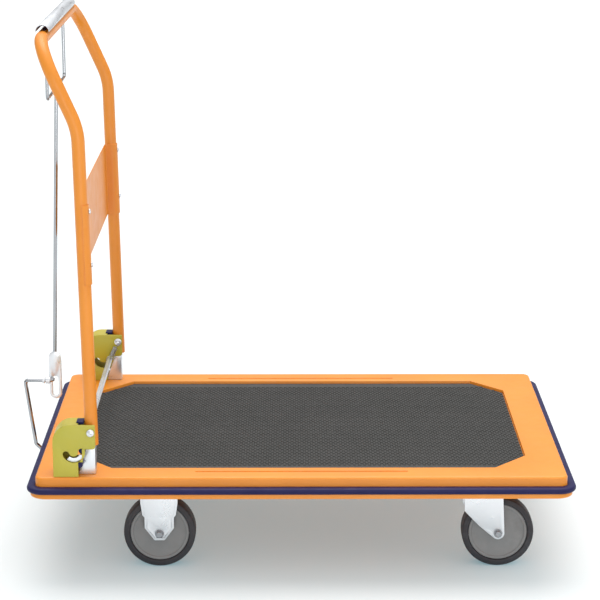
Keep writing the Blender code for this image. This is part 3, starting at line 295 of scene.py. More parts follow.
floor_graph = Graph(
    "studio_floor",
    roughness=0.9,
    Specular_IOR_Level=0.1,
    Emission_Color=(0.44, 0.80, 0.92, 1),
    Emission_Strength=0.32,
)
floor_tone = floor_graph.ramp(floor_graph.noise(0.6, 3), 0.3, 0.7)
FLOOR = floor_graph.finish(floor_graph.mix(floor_tone, (0.60, 0.56, 0.54), (0.61, 0.57, 0.55)))

# Mesh tools


class Piece:
    """One mesh under construction, in the deck's coordinates."""

    def __init__(self, name, material, body="deck", replaces=()):
        self.name, self.material, self.body = name, material, body
        self.replaced = (replaces,) if isinstance(replaces, str) else tuple(replaces)
        self.bm = bmesh.new()

    def ring(self, points):
        return [self.bm.verts.new(p) for p in points]

    def bridge(self, first, second, closed=True):
        count = len(first)
        for i in range(count if closed else count - 1):
            j = (i + 1) % count
            corners = [first[i], first[j], second[j], second[i]]
            corners = [v for k, v in enumerate(corners) if v not in corners[:k]]
            if len(corners) > 2 and not self.bm.faces.get(corners):
                self.bm.faces.new(corners)

    def join(self, rings, closed=False):
        """Bridges each ring to the next, and the last to the first if closed."""
        for first, second in zip(rings, rings[1:] + (rings[:1] if closed else [])):
            self.bridge(first, second)

    def fill(self, *loops):
        edges = []
        for loop in loops:
            for a, b in zip(loop, loop[1:] + loop[:1]):
                edges.append(self.bm.edges.get((a, b)) or self.bm.edges.new((a, b)))
        bmesh.ops.triangle_fill(self.bm, use_beauty=True, edges=edges)

    def sweep(self, path, profile, up=None, caps=True):
        """The profile of (u, v) points carried along the path."""
        path = [Vector(p) for p in path]
        normal, last, rings = None, None, []
        for i, point in enumerate(path):
            before, after = path[max(i - 1, 0)], path[min(i + 1, len(path) - 1)]
            along = (after - before).normalized()
            if normal is None:
                normal = Vector(up) if up else along.orthogonal()
            else:
                normal = last.rotation_difference(along) @ normal
            normal = (normal - along * normal.dot(along)).normalized()
            across = along.cross(normal)
            last = along
            rings.append(self.ring([point + normal * u + across * v for u, v in profile]))
        self.join(rings)
        if caps:
            self.bm.faces.new(rings[0])
            self.bm.faces.new(rings[-1])
        return rings

    def wire(self, path, radius, sides):
        self.sweep(path, circle(radius, sides))

    def turn(self, at, axis, profile, steps, closed=False):
        """A profile of (radius, height) points turned about an axis through a point."""
        turn = Vector(axis).to_track_quat("Z", "Y").to_matrix()
        at = Vector(at)
        angles = [2 * math.pi * i / steps for i in range(steps)]
        rings = []
        for radius, height in profile:
            if radius < 1e-7:
                rings.append([self.bm.verts.new(at + turn @ Vector((0, 0, height)))] * steps)
            else:
                places = [Vector((radius * math.cos(a), radius * math.sin(a), height)) for a in angles]
                rings.append(self.ring([at + turn @ p for p in places]))
        self.join(rings, closed)
        return self

    def slab(self, outline, thickness, edge, place, holes=()):
        """A flat plate with rounded rims: place maps (u, v, w) to a point, w through the thickness."""
        angles = (0, math.pi / 4, math.pi / 2)
        quarter = [(edge * (1 - math.sin(a)), edge * (1 - math.cos(a))) for a in angles]
        levels = [(inset, -thickness / 2 + sink) for inset, sink in quarter]
        levels += [(inset, thickness / 2 - sink) for inset, sink in reversed(quarter)]
        loops = [anticlockwise(outline)] + [anticlockwise(hole)[::-1] for hole in holes]
        starts, ends = [], []
        for loop in loops:
            rows = [self.ring([place(u, v, w) for u, v in shrink(loop, inset)]) for inset, w in levels]
            self.join(rows)
            starts.append(rows[0])
            ends.append(rows[-1])
        self.fill(*starts)
        self.fill(*ends)
        return self

    def hex_bolt(self, at, axis, radius, height, washer):
        """A hexagon head with a chamfered top on a washer."""
        lift = height * 0.22
        ring = radius * washer
        self.turn(at, axis, [(0, 0), (ring, 0), (ring, lift * 0.7), (ring * 0.94, lift), (0, lift)], 28)
        profile = [(0, lift), (radius, lift), (radius, height * 0.86), (radius * 0.86, height), (0, height)]
        return self.turn(at, axis, profile, 6)

    def screw_head(self, at, axis, radius, height):
        """A pan head with a round recess in its top."""
        dome = [(radius, 0), (radius, height * 0.35)]
        dome += [(radius * math.cos(a), height * (0.35 + 0.65 * math.sin(a))) for a in (0.5, 0.9, 1.2)]
        dome += [(radius * 0.30, height), (radius * 0.18, height * 0.45), (0, height * 0.35)]
        return self.turn(at, axis, [(0, 0)] + dome, 24)

    def done(self, sharp=35.0):
        bmesh.ops.remove_doubles(self.bm, verts=self.bm.verts, dist=0.000001)
        bmesh.ops.recalc_face_normals(self.bm, faces=self.bm.faces)
        bmesh.ops.translate(self.bm, vec=DECK, verts=self.bm.verts)
        mesh = bpy.data.meshes.new(self.name)
        self.bm.to_mesh(mesh)
        self.bm.free()
        mesh.shade_smooth()
        mesh.set_sharp_from_angle(angle=math.radians(sharp))
        mesh.materials.append(self.material)
        obj = bpy.data.objects.new(self.name, mesh)
        bpy.context.scene.collection.objects.link(obj)
        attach(obj, self.body)
        if self.replaced:
            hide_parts(*self.replaced)
        return obj


def circle(radius, sides):
    angles = [2 * math.pi * i / sides for i in range(sides)]
    return [(radius * math.cos(a), radius * math.sin(a)) for a in angles]


def anticlockwise(outline):
    area = sum(a[0] * b[1] - b[0] * a[1] for a, b in zip(outline, outline[1:] + outline[:1]))
    return list(outline) if area > 0 else list(outline)[::-1]


def shrink(outline, inset):
    """The outline moved to its left, which is inward when it runs anticlockwise."""
    if not inset:
        return outline
    points = [Vector(p) for p in outline]
    moved = []
    for before, point, after in zip(points[-1:] + points[:-1], points, points[1:] + points[:1]):
        into, out = (point - before).normalized(), (after - point).normalized()
        first, second = Vector((-into.y, into.x)), Vector((-out.y, out.x))
        moved.append(tuple(point + (first + second) * inset / max(1 + first.dot(second), 0.4)))
    return moved


def arc(centre, radius, start, turn, steps):
    """Points along an arc that starts at an angle and turns by another."""
    angles = [start + turn * i / steps for i in range(steps + 1)]
    return [(centre[0] + radius * math.cos(a), centre[1] + radius * math.sin(a)) for a in angles]


def both_sides(half):
    """Half of a turned profile, followed by its mirror image."""
    return half + [(radius, -height) for radius, height in reversed(half)]


def round_hole(centre, radius, steps=18):
    return arc(centre, radius, 0, 2 * math.pi, steps)[:-1]


def upright_oval(x, low, high, half, steps):
    """An outline with straight sides and two round ends, from low to high."""
    foot = arc((x, low + half), half, math.pi, math.pi, steps)
    return foot + arc((x, high - half), half, 0, math.pi, steps)


def rounded(corners, radii, steps):
    """The corners joined by straight runs, with an arc of its radius at each inner corner."""
    corners = [Vector(c) for c in corners]
    path = [corners[0]]
    for before, corner, after, radius in zip(corners, corners[1:], corners[2:], radii):
        into, out = (corner - before).normalized(), (after - corner).normalized()
        turn = into.angle(out)
        start = corner - into * radius * math.tan(turn / 2)
        inward = (out - into * out.dot(into)).normalized()
        for i in range(steps + 1):
            a = turn * i / steps
            path.append(start + into * radius * math.sin(a) + inward * radius * (1 - math.cos(a)))
    return path + [corners[-1]]


def round_box(half_x, half_y, corner, steps=8):
    """A rounded rectangle's outline, anticlockwise."""
    points = []
    for sx, sy, start in ((1, -1, -90), (1, 1, 0), (-1, 1, 90), (-1, -1, 180)):
        centre = (sx * (half_x - corner), sy * (half_y - corner))
        points += arc(centre, corner, math.radians(start), math.pi / 2, steps)
    return points


def upright(y):
    """place() for a slab in X and Z whose thickness is centred at y."""
    return lambda u, v, w: (u, y + w, v)


def level(z):
    """place() for a slab that lies flat at z."""
    return lambda u, v, w: (u, v, z + w)


# Deck


def deck_loop(p, grow, z, corner):
    """A ring of the deck's outline, grown outwards."""
    outline = round_box(DECK_HALF_X + grow, DECK_HALF_Y + grow, corner)
    return p.ring([(x, y, z) for x, y in outline])


def recess_outline():
    """The mat's recess: a rectangle with its four corners cut off."""
    low_x, high_x, half_y = -0.382, 0.389, 0.2505
    cut_x, cut_y = 0.058, 0.062
    right = [(high_x, -half_y + cut_y), (high_x, half_y - cut_y), (high_x - cut_x, half_y)]
    left = [(low_x + cut_x, half_y), (low_x, half_y - cut_y), (low_x, -half_y + cut_y)]
    return right + left + [(low_x + cut_x, -half_y), (high_x - cut_x, -half_y)]


def groove_outline(middle_y, half_x, half_y):
    """A long oval along X."""
    right = arc((half_x - half_y, middle_y), half_y, -math.pi / 2, math.pi, 8)
    return right + arc((-half_x + half_y, middle_y), half_y, math.pi / 2, math.pi, 8)


def build_pan():
    """The pressed pan: a skin from the lip's inner edge, over the ledge and the rim, to the mat's recess."""
    p = Piece("deck_shell", ORANGE, replaces="deck_pan")
    profile = [(0.0085, -0.0352, 0.0285), (0.0096, -0.0352, 0.0297), (0.0100, -0.0348, 0.030)]
    profile += [(0.0100, -0.0289, 0.030), (0.0094, -0.0276, 0.0295), (0.0084, -0.0272, 0.029)]
    profile += [(0.0012, -0.0272, 0.0152), (0.0002, -0.0267, 0.0142), (0.0000, -0.0257, 0.014)]
    rim, rim_steps = 0.0042, 6
    for i in range(rim_steps + 1):
        a = math.pi / 2 * i / rim_steps
        inset = rim * (1 - math.cos(a))
        profile.append((-inset, -rim * (1 - math.sin(a)), DECK_CORNER - inset * 0.8))
    loops = [deck_loop(p, *row) for row in profile]
    p.join(loops)
    edge = anticlockwise(recess_outline())
    rims = []
    for grow, sink in ((0.0012, 0.0), (0.0004, 0.0003), (0.0, 0.0011), (0.0, RECESS)):
        rims.append(p.ring([(x, y, -sink) for x, y in shrink(edge, -grow)]))
    p.join(rims)
    groove_y, groove_half_x, groove_half_y = 0.269, 0.181, 0.0025
    groove_wall = ((0.0006, 0.0), (0.0001, 0.0003), (0.0, 0.0010), (-0.0003, 0.0020), (-0.0010, 0.0025))
    grooves = []
    for _, side in SIDES:
        rows = []
        for grow, sink in groove_wall:
            outline = groove_outline(side * groove_y, groove_half_x + grow, groove_half_y + grow)
            rows.append(p.ring([(x, y, -sink) for x, y in outline]))
        p.join(rows)
        p.fill(rows[-1])
        grooves.append(rows[0])
    p.fill(loops[-1], rims[0], *grooves)
    p.fill(rims[-1])
    inside = [(0.0085, -0.0352, 0.0285), (0.0085, -0.0287, 0.0285), (-0.0015, -0.0287, 0.0125)]
    inside += [(-0.0015, -0.009, 0.0125), (-0.005, -RECESS - 0.0015, 0.010)]
    under = [deck_loop(p, *row) for row in inside]
    p.join(under)
    p.fill(under[-1])
    p.done(30)


def build_mat():
    """The rubber mat: a sheet with a field of small hexagon studs."""
    p = Piece("deck_mat_sheet", MAT, replaces="deck_mat")
    outline = anticlockwise(shrink(anticlockwise(recess_outline()), 0.0009))
    base, top = -0.0052, -0.0037
    rows = []
    for inset, z in ((0.0, -0.0057), (0.0, base - 0.0003), (0.0003, base)):
        rows.append(p.ring([(x, y, z) for x, y in shrink(outline, inset)]))
    p.join(rows)
    p.fill(rows[-1])
    p.fill(rows[0])
    pitch, foot_radius, crown_radius = 0.0086, 0.0033, 0.0025
    step_y = pitch * math.sqrt(3) / 2
    hexagon = circle(1, 6)
    limit = shrink(outline, 0.0034)
    edges = list(zip(limit, limit[1:] + limit[:1]))
    for row in range(-30, 31):
        y = row * step_y
        for column in range(-48, 49):
            x = (column + 0.5 * (row % 2)) * pitch + 0.0055
            if any((b[0] - a[0]) * (y - a[1]) - (b[1] - a[1]) * (x - a[0]) < 0 for a, b in edges):
                continue
            foot = [(x + foot_radius * c, y + foot_radius * s, base - 0.0001) for c, s in hexagon]
            crown = [(x + crown_radius * c, y + crown_radius * s, top) for c, s in hexagon]
            lower, upper = p.ring(foot), p.ring(crown)
            p.bridge(lower, upper)
            p.bm.faces.new(upper)
    p.done(25)


def build_bumper():
    """The rubber edging: a rounded nose with a shallow groove, on the ledge round the pan."""
    p = Piece("edge_bumper_strip", NAVY, replaces="edge_bumper")
    low, high, out = -0.0269, -0.0160, 0.015
    profile = [(0.0005, low), (0.0100, low), (0.0125, low + 0.0006), (0.0143, low + 0.0022)]
    profile += [(out, low + 0.0046), (0.0146, low + 0.0052), (out, low + 0.0058), (out, low + 0.0068)]
    profile += [(0.0142, high - 0.0020), (0.0124, high - 0.0007), (0.0100, high), (0.0018, high)]
    profile += [(0.0005, high - 0.001)]
    p.join([deck_loop(p, grow, z, DECK_CORNER + grow) for grow, z in profile], closed=True)
    p.done(40)


def build_channel(name, side):
    """A pressed channel under the deck that carries two casters, with rounded bends and weld spots."""
    p = Piece("caster_channel_" + name, ORANGE, replaces="under_channel_" + name)
    y, half, wall, bend = side * CASTER_Y, 0.030, 0.002, 0.003
    low, high = -0.033, UNDERSIDE
    outer = [(-half, high), (-half, low + bend)]
    outer += arc((-half + bend, low + bend), bend, math.pi, math.pi / 2, 5)
    outer += arc((half - bend, low + bend), bend, -math.pi / 2, math.pi / 2, 5) + [(half, high)]
    inner_bend = bend - wall
    inner = [(half - wall, high), (half - wall, low + bend)]
    inner += arc((half - bend, low + bend), inner_bend, 0, -math.pi / 2, 4)
    inner += arc((-half + bend, low + bend), inner_bend, -math.pi / 2, -math.pi / 2, 4)
    inner += [(-half + wall, high)]
    p.sweep([(-0.43, y, 0), (0.43, y, 0)], [(v, u) for u, v in outer + inner], up=(0, 0, 1))
    weld = [(0, -0.0005), (0.006, -0.0005), (0.0045, 0.0006), (0.0025, 0.0002), (0, 0.0002)]
    for x in (-0.40, -0.13, 0.02, 0.17, 0.41):
        p.turn((x, y, low), (0, 0, -1), weld, 20)
    p.done()


# Brackets


def bracket_outline():
    back, front, height, corner = BRACKET_BACK, BRACKET_FRONT, BRACKET_HEIGHT, BRACKET_CORNER
    points = [(back, GAP), (-0.3757, GAP), (-0.3757, 0.0265), (-0.368, 0.0265), (-0.368, 0.049)]
    points += arc((front - 0.006, 0.055), 0.006, -math.pi / 2, math.pi / 2, 6)
    points += [(front, height - 0.002)] + arc((front - 0.002, height - 0.002), 0.002, 0, math.pi / 2, 3)[1:]
    return points + arc((back + corner, height - corner), corner, math.pi / 2, math.pi / 2, 14)


def slot_shape(half_width):
    """The latch bar's curved slot, with round ends."""
    start, end, steps = SLOT_START, SLOT_START + SLOT_TURN, 18
    first, last = (arc(SLOT, SLOT_RADIUS, a, 0, 1)[0] for a in (start, end))
    shape = arc(SLOT, SLOT_RADIUS + half_width, start, SLOT_TURN, steps)
    shape += arc(last, half_width, end, -math.pi, 8)[1:-1]
    shape += arc(SLOT, SLOT_RADIUS - half_width, end, -SLOT_TURN, steps)
    return shape + arc(first, half_width, start + math.pi, -math.pi, 8)[1:-1]


def build_bracket(name, side):
    """Two slotted plates joined by a strip over the back and the top."""
    p = Piece("bracket_" + name, OLIVE, replaces="hinge_bracket_" + name)
    sheet = BRACKET_SHEET
    slot = slot_shape(0.0055)
    pivot = round_hole((PIVOT.x, PIVOT.z), 0.0043)
    for y in (BRACKET_OUT - sheet / 2, BRACKET_IN + sheet / 2):
        p.slab(bracket_outline(), sheet, 0.0008, upright(side * y), (slot, pivot))
    back, height, corner = BRACKET_BACK, BRACKET_HEIGHT, BRACKET_CORNER
    path = [(back + sheet / 2, 0, 0.001), (back + sheet / 2, 0, height - corner)]
    bend = arc((back + corner, height - corner), corner - sheet / 2, math.pi, -math.pi / 2, 14)
    path += [(x, 0, z) for x, z in bend[1:]] + [(-0.375, 0, height - sheet / 2)]
    middle = side * (BRACKET_OUT + BRACKET_IN) / 2
    half = (BRACKET_OUT - BRACKET_IN) / 2 - 0.0006
    section = [(-sheet / 2, -half), (sheet / 2, -half), (sheet / 2, half), (-sheet / 2, half)]
    p.sweep([(x, middle, z) for x, _, z in path], section, up=(1, 0, 0))
    p.done()


def build_liner(name, side):
    """A bright crescent behind the outer plate, under the latch slot."""
    liner = Piece("latch_liner_" + name, ZINC)
    first, turn = SLOT_START - 0.48, -math.radians(106)
    shape = arc(SLOT, SLOT_RADIUS + 0.0052, first, turn, 18)
    shape += arc(SLOT, SLOT_RADIUS - 0.0022, first + turn, -turn, 18)
    liner.slab(shape, 0.0010, 0.0003, upright(side * (BRACKET_OUT - BRACKET_SHEET - 0.0009)))
    liner.done()


def build_notch_shade_disc(name, side):
    """A dark round disc beside the pedestal's foot: painted shade for the shaded hollow of the notch there.
    """
    # painted shade: a dark disc where the notch's inside lies in shadow
    plug = Piece("notch_shade_disc_" + name, NAVY)
    low, high = BRACKET_OUT - 0.0130, BRACKET_OUT - BRACKET_SHEET + 0.0004
    dome = [(0, low), (0.0050, low), (0.0050, high - 0.0008), (0.0042, high), (0, high)]
    plug.turn((-0.3735, 0, 0.0205), (0, side, 0), dome, 24)
    plug.done()


def build_pedestal(name, side):
    """A flat plate inside the bracket for the folded post, with its foot on the deck."""
    p = Piece("pedestal_" + name, ZINC, replaces="hinge_pedestal_" + name)
    outline = [(-0.3777, GAP), (-0.348, GAP), (-0.348, 0.048)]
    outline += [(-0.3495, 0.050), (-0.3602, 0.050), (-0.3621, 0.048)]
    outer, inner = 0.284, 0.2588
    p.slab(outline, outer - inner, 0.0015, upright(side * (outer + inner) / 2))
    p.done()


def build_buffer(name, side):
    p = Piece("buffer_" + name, NAVY, replaces="stop_buffer_" + name)
    outline = [(-0.3747, 0.0895), (-0.3657, 0.0895), (-0.3657, 0.0936), (-0.3666, 0.0945)]
    outline += [(-0.3774, 0.0945), (-0.3782, 0.0937), (-0.3782, 0.0923), (-0.3747, 0.0923)]
    p.slab(outline, 0.020, 0.0006, upright(side * (BRACKET_OUT + BRACKET_IN) / 2))
    p.done()


def build_pivot_bolt(name, side):
    p = Piece("pivot_screw_" + name, ZINC, replaces="pivot_bolt_" + name)
    out = Vector((0, side, 0))
    head = Vector((PIVOT.x, side * (BRACKET_OUT + GAP), PIVOT.z))
    p.screw_head(head, out, 0.0066, 0.0034)
    nut = Vector((PIVOT.x, side * (BRACKET_IN - GAP), PIVOT.z))
    shank = BRACKET_OUT - BRACKET_IN
    p.turn(nut, out, [(0, 0), (0.004, 0), (0.004, shank), (0, shank)], 20)
    p.hex_bolt(nut, -out, 0.0062, 0.004, 1.1)
    thread = [(0, 0.003)] + [(0.0039 - 0.0004 * (i % 2), 0.0034 + 0.00035 * i) for i in range(19)]
    p.turn(nut, -out, thread + [(0.0034, 0.010), (0, 0.010)], 18)
    p.done()


# Casters


def build_wheel(name, side, axle_x, kind):
    body = f"{kind}_wheel_{name}"
    at, out = (axle_x, side * CASTER_Y, AXLE_Z), (0, side, 0)
    half = 0.0165
    tyre = Piece(f"{kind}_tyre_ring_{name}", TYRE, body, f"{kind}_tyre_{name}")
    shape = [(0.0512, half - 0.0024), (0.0520, half - 0.0008), (0.0535, half), (0.0560, half)]
    shape += [(0.0565, half - 0.0004), (0.0598, half - 0.0002), (0.0610, half - 0.0008)]
    shape += [(0.0618, half - 0.0020), (0.0622, half - 0.0040)]
    shape += [(0.0624, half - 0.0075), (0.0625, half - 0.0110)]
    mirrored = [(radius, -height) for radius, height in reversed(shape)]
    tyre.turn(at, out, shape + [(0.0625, 0)] + mirrored, 72, closed=True)
    tyre.done(50)
    core = Piece(f"{kind}_core_disc_{name}", HUB, body, f"{kind}_core_{name}")
    face = half - 0.0025
    shape = [(0.0056, half + 0.0014), (0.0112, half + 0.0014), (0.0119, half + 0.0006), (0.0122, face)]
    shape += [(0.0135, face - 0.0022), (0.0150, face - 0.0026), (0.0440, face - 0.0022)]
    shape += [(0.0452, face - 0.0016), (0.0462, face - 0.0004), (0.0474, face), (0.0498, face)]
    shape += [(0.0507, face - 0.0006), (0.0507, face - 0.0014)]
    core.turn(at, out, both_sides(shape), 64, closed=True)
    core.done(30)


def build_axle(name, side, axle_x, kind, body):
    """The axle bolt with a hexagon head and a nut outside the fork."""
    at, out = Vector((axle_x, side * CASTER_Y, AXLE_Z)), Vector((0, side, 0))
    face = 0.0223
    p = Piece(f"{kind}_axle_bolt_{name}", BOLT, body, f"{kind}_axle_{name}")
    p.turn(at, out, [(0, -face), (0.005, -face), (0.005, face), (0, face)], 20)
    p.hex_bolt(at + out * face, out, 0.0062, 0.0048, 1.22)
    p.hex_bolt(at - out * face, -out, 0.0062, 0.0048, 1.22)
    p.done()


def rigid_leg(top):
    """A fork leg's outline: a chamfered foot, a step and a wide top."""
    half = [(0.0080, -0.0121), (0.0092, -0.0115), (0.0252, 0.0100), (0.0255, 0.0106), (0.0255, 0.0290)]
    half += [(0.0258, 0.0302), (0.0292, 0.0345), (0.0322, 0.0560), (0.0322, top)]
    return half + [(-x, z) for x, z in reversed(half)]


def swivel_leg(top):
    """A raked fork leg's outline."""
    outline = arc((0, 0), 0.0112, math.radians(-130), math.radians(130), 12)
    return outline + [(0.0068, top), (-0.060, top), (-0.059, 0.0425), (-0.0575, 0.0395), (-0.034, 0.0145)]


def build_fork(name, side, axle_x, kind, body, top, leg):
    """Two legs under a crown; a rigid fork has a mounting plate and a raised field on each leg."""
    p = Piece(f"{kind}_fork_body_{name}", ZINC, body, f"{kind}_fork_{name}")
    y = side * CASTER_Y
    outline = [(axle_x + u, AXLE_Z + v) for u, v in leg(top - AXLE_Z)]
    inner, outer = 0.0195, 0.0220
    hole = round_hole((axle_x, AXLE_Z), 0.0053)
    for way in (-1, 1):
        p.slab(outline, 0.0025, 0.0009, upright(y + way * (inner + outer) / 2), (hole,))
    if kind == "rigid":
        raised = shrink(anticlockwise(outline), 0.0042)
        ring = round_hole((axle_x, AXLE_Z), 0.0082, 24)
        raised = [(u, min(v, top - 0.012)) for u, v in raised]
        for way in (-1, 1):
            p.slab(raised, 0.0010, 0.0009, upright(y + way * (outer + 0.0004)), (ring,))
    xs = [u for u, v in outline if v > top - 1e-6]
    middle, half = (min(xs) + max(xs)) / 2, (max(xs) - min(xs)) / 2
    crown = round_box(half, outer, 0.004, 4)
    p.slab([(middle + u, y + v) for u, v in crown], 0.003, 0.001, level(top - 0.0015))
    for way in (-1, 1):
        ends = (middle - half * 0.96, middle + half * 0.96)
        p.wire([(x, y + way * (inner - 0.0008), top - 0.0034) for x in ends], 0.0016, 12)
    if kind == "rigid":
        mounting_plate(p, axle_x, y, top)
    p.done()
    if kind == "rigid":
        bolts = Piece("rigid_plate_bolts_" + name, ZINC)
        plate_bolts(bolts, axle_x, y, top)
        bolts.done()


def mounting_plate(p, x, y, top, holes=()):
    plate = round_box(PLATE_HALF_X, PLATE_HALF_Y, 0.006, 6)
    p.slab([(x + u, y + v) for u, v in plate], 0.003, 0.0008, level(top - 0.0015), holes)


def plate_bolts(p, x, y, top):
    for bolt_x in (x - 0.0395, x + 0.0395):
        for bolt_y in (y - 0.0200, y + 0.0200):
            p.hex_bolt((bolt_x, bolt_y, top - 0.0030), (0, 0, -1), 0.0042, 0.0042, 1.35)


def build_swivel_head(name, side):
    """The swivel caster's mounting plate with its ball race, and the kingpin through it."""
    y = side * CASTER_Y
    top = PLATE_TOP
    p = Piece("swivel_head_" + name, ZINC, replaces="swivel_plate_" + name)
    mounting_plate(p, SWIVEL_X, y, top, (round_hole((SWIVEL_X, y), 0.0063),))
    race = [(0.0064, -0.0028), (0.0252, -0.0028), (0.0256, -0.0045), (0.0260, -0.0058), (0.0258, -0.0082)]
    race += [(0.0250, -0.0089), (0.0160, -0.0089), (0.0150, -0.0080), (0.0064, -0.0080)]
    p.turn((SWIVEL_X, y, top), (0, 0, 1), race, 48, closed=True)
    plate_bolts(p, SWIVEL_X, y, top)
    p.done()
    pin = Piece("kingpin_bolt_" + name, ZINC, replaces="kingpin_" + name)
    head = -0.0131
    pin.turn((SWIVEL_X, y, top), (0, 0, 1), [(0, 0), (0.006, 0), (0.006, head), (0, head)], 24)
    pin.hex_bolt((SWIVEL_X, y, top + head), (0, 0, -1), 0.0085, 0.004, 1.15)
    pin.done()


# Handle


def post_point(along, side, forward=0.0):
    """A point on a post's axis, or in front of it."""
    x = PIVOT.x - along * math.sin(LEAN) + forward * math.cos(LEAN)
    return Vector((x, side * POST_Y, PIVOT.z + along * math.cos(LEAN) + forward * math.sin(LEAN)))


def handle_path(tail):
    kink = 0.511
    corners = [post_point(-tail, -1), post_point(kink, -1), Vector((BAR_AXIS_X, -POST_Y, TOP_BAR_Z))]
    corners += [Vector((BAR_AXIS_X, POST_Y, TOP_BAR_Z)), post_point(kink, 1), post_point(-tail, 1)]
    return rounded(corners, (0.120, 0.064, 0.064, 0.120), 14)


def build_tube():
    p = Piece("handle_loop", ORANGE, "handle", "handle_tube")
    path, wall = handle_path(0.026), 0.0015
    outer = p.sweep(path, circle(TUBE, 32), caps=False)
    inner = p.sweep(path, circle(TUBE - wall, 32), caps=False)
    for end in (0, -1):
        p.bridge(outer[end], inner[end])
    p.done()


def build_panel():
    """The cross panel: a sheet saddled round the front of each post, with its middle set back behind them."""
    p = Piece("cross_panel", ORANGE, "handle", "handle_panel")
    sheet, back, bend = 0.0015, 0.0105, 0.003
    radius = TUBE + GAP + sheet / 2
    wrap = math.radians(78)
    half = arc((0, -POST_Y), radius, -wrap, wrap + math.pi / 2, 24)
    half += arc((bend - back, -POST_Y + radius + bend), bend, -math.pi / 2, -math.pi / 2, 6)
    half += [(-back, -0.18), (-back, -0.09), (-back, 0)]
    path = half[:-1] + [(x, -y) for x, y in reversed(half)]
    normals = []
    for before, after in zip(path[:1] + path[:-1], path[1:] + path[-1:]):
        along = (Vector(after) - Vector(before)).normalized()
        normals.append(Vector((along.y, -along.x)))
    turn = Matrix.Rotation(-LEAN, 4, "Y")
    low, high, edge = 0.252, 0.387, 0.0006
    rows = []
    for z, offset in (
        (low + edge, sheet / 2),
        (low, sheet / 2 - edge),
        (low, edge - sheet / 2),
        (low + edge, -sheet / 2),
        (high - edge, -sheet / 2),
        (high, edge - sheet / 2),
        (high, sheet / 2 - edge),
        (high - edge, sheet / 2),
    ):
        places = [Vector((x + n.x * offset, y + n.y * offset, z)) for (x, y), n in zip(path, normals)]
        rows.append(p.ring([PIVOT + turn @ place for place in places]))
    for first, second in zip(rows, rows[1:] + rows[:1]):
        p.bridge(first, second, False)
    for end in (0, -1):
        p.bm.faces.new([row[end] for row in rows])
    p.done(30)
    forward = Vector((math.cos(LEAN), 0, math.sin(LEAN)))
    for name, side in SIDES:
        for number, height in enumerate((0.286, 0.375), 1):
            screw = Piece(f"saddle_screw_{name}_{number}", ZINC, "handle", f"panel_screw_{name}_{number}")
            screw.screw_head(post_point(height, side, TUBE + 0.0020), forward, 0.0045, 0.0026)
            screw.done()


# Latch


def build_latch():
    """The latch rod, with a groove for each spring's hook and a dark cap on each end."""
    half = 0.2930
    p = Piece("latch_rod", ZINC, "latch", "latch_bar")
    profile = [(0, -half), (0.0040, -half), (0.005, -half + 0.001)]
    for side in (-1, 1):
        middle = side * 0.2455
        profile += [(0.005, middle - 0.0022), (0.0046, middle - 0.0014)]
        profile += [(0.0046, middle + 0.0014), (0.005, middle + 0.0022)]
    profile += [(0.005, half - 0.001), (0.0040, half), (0, half)]
    p.turn((BAR_X, 0, BAR_Z), (0, 1, 0), profile, 28)
    p.done(30)
    for name, side in SIDES:
        cap = Piece("latch_cap_" + name, NAVY, "latch")
        disc = [(0, 0), (0.0046, 0), (0.0046, 0.0003), (0.0042, 0.0005), (0, 0.0005)]
        cap.turn((BAR_X, side * half, BAR_Z), (0, side, 0), disc, 24)
        cap.done()


def build_latch_spring(name, side):
    """A tension spring with a hook round the pivot screw's tip and another round the latch rod."""
    p = Piece("latch_coil_" + name, STEEL, replaces="latch_spring_" + name)
    y = side * (BRACKET_IN - 0.0105)
    top, foot = Vector((PIVOT.x, y, PIVOT.z)), Vector((BAR_X, y, BAR_Z))
    along = (foot - top).normalized()
    out = Vector((0, side, 0))
    across = along.cross(out)
    wire, coil = 0.0006, 0.0040
    start, end = top + along * 0.0088, foot - along * 0.0088

    def hook(centre, radius, first):
        """Most of a turn in the plane across the screw and the rod."""
        angles = [math.radians(first + 230 * i / 16) for i in range(17)]
        return [centre + (across * math.cos(a) - along * math.sin(a)) * radius for a in angles]

    path = hook(top, 0.0049, -70)[::-1]
    turns, per_turn, taper = 11, 14, 6
    count = turns * per_turn
    for i in range(count + 1):
        a = 2 * math.pi * i / per_turn
        spread = max(min(1.0, i / taper, (count - i) / taper), 0.25)
        round_coil = across * math.cos(a) + out * math.sin(a)
        path.append(start + (end - start) * (i / count) + round_coil * coil * spread)
    path += hook(foot, 0.0060, 20)
    p.wire(path, wire, 8)
    p.done()


# Brake


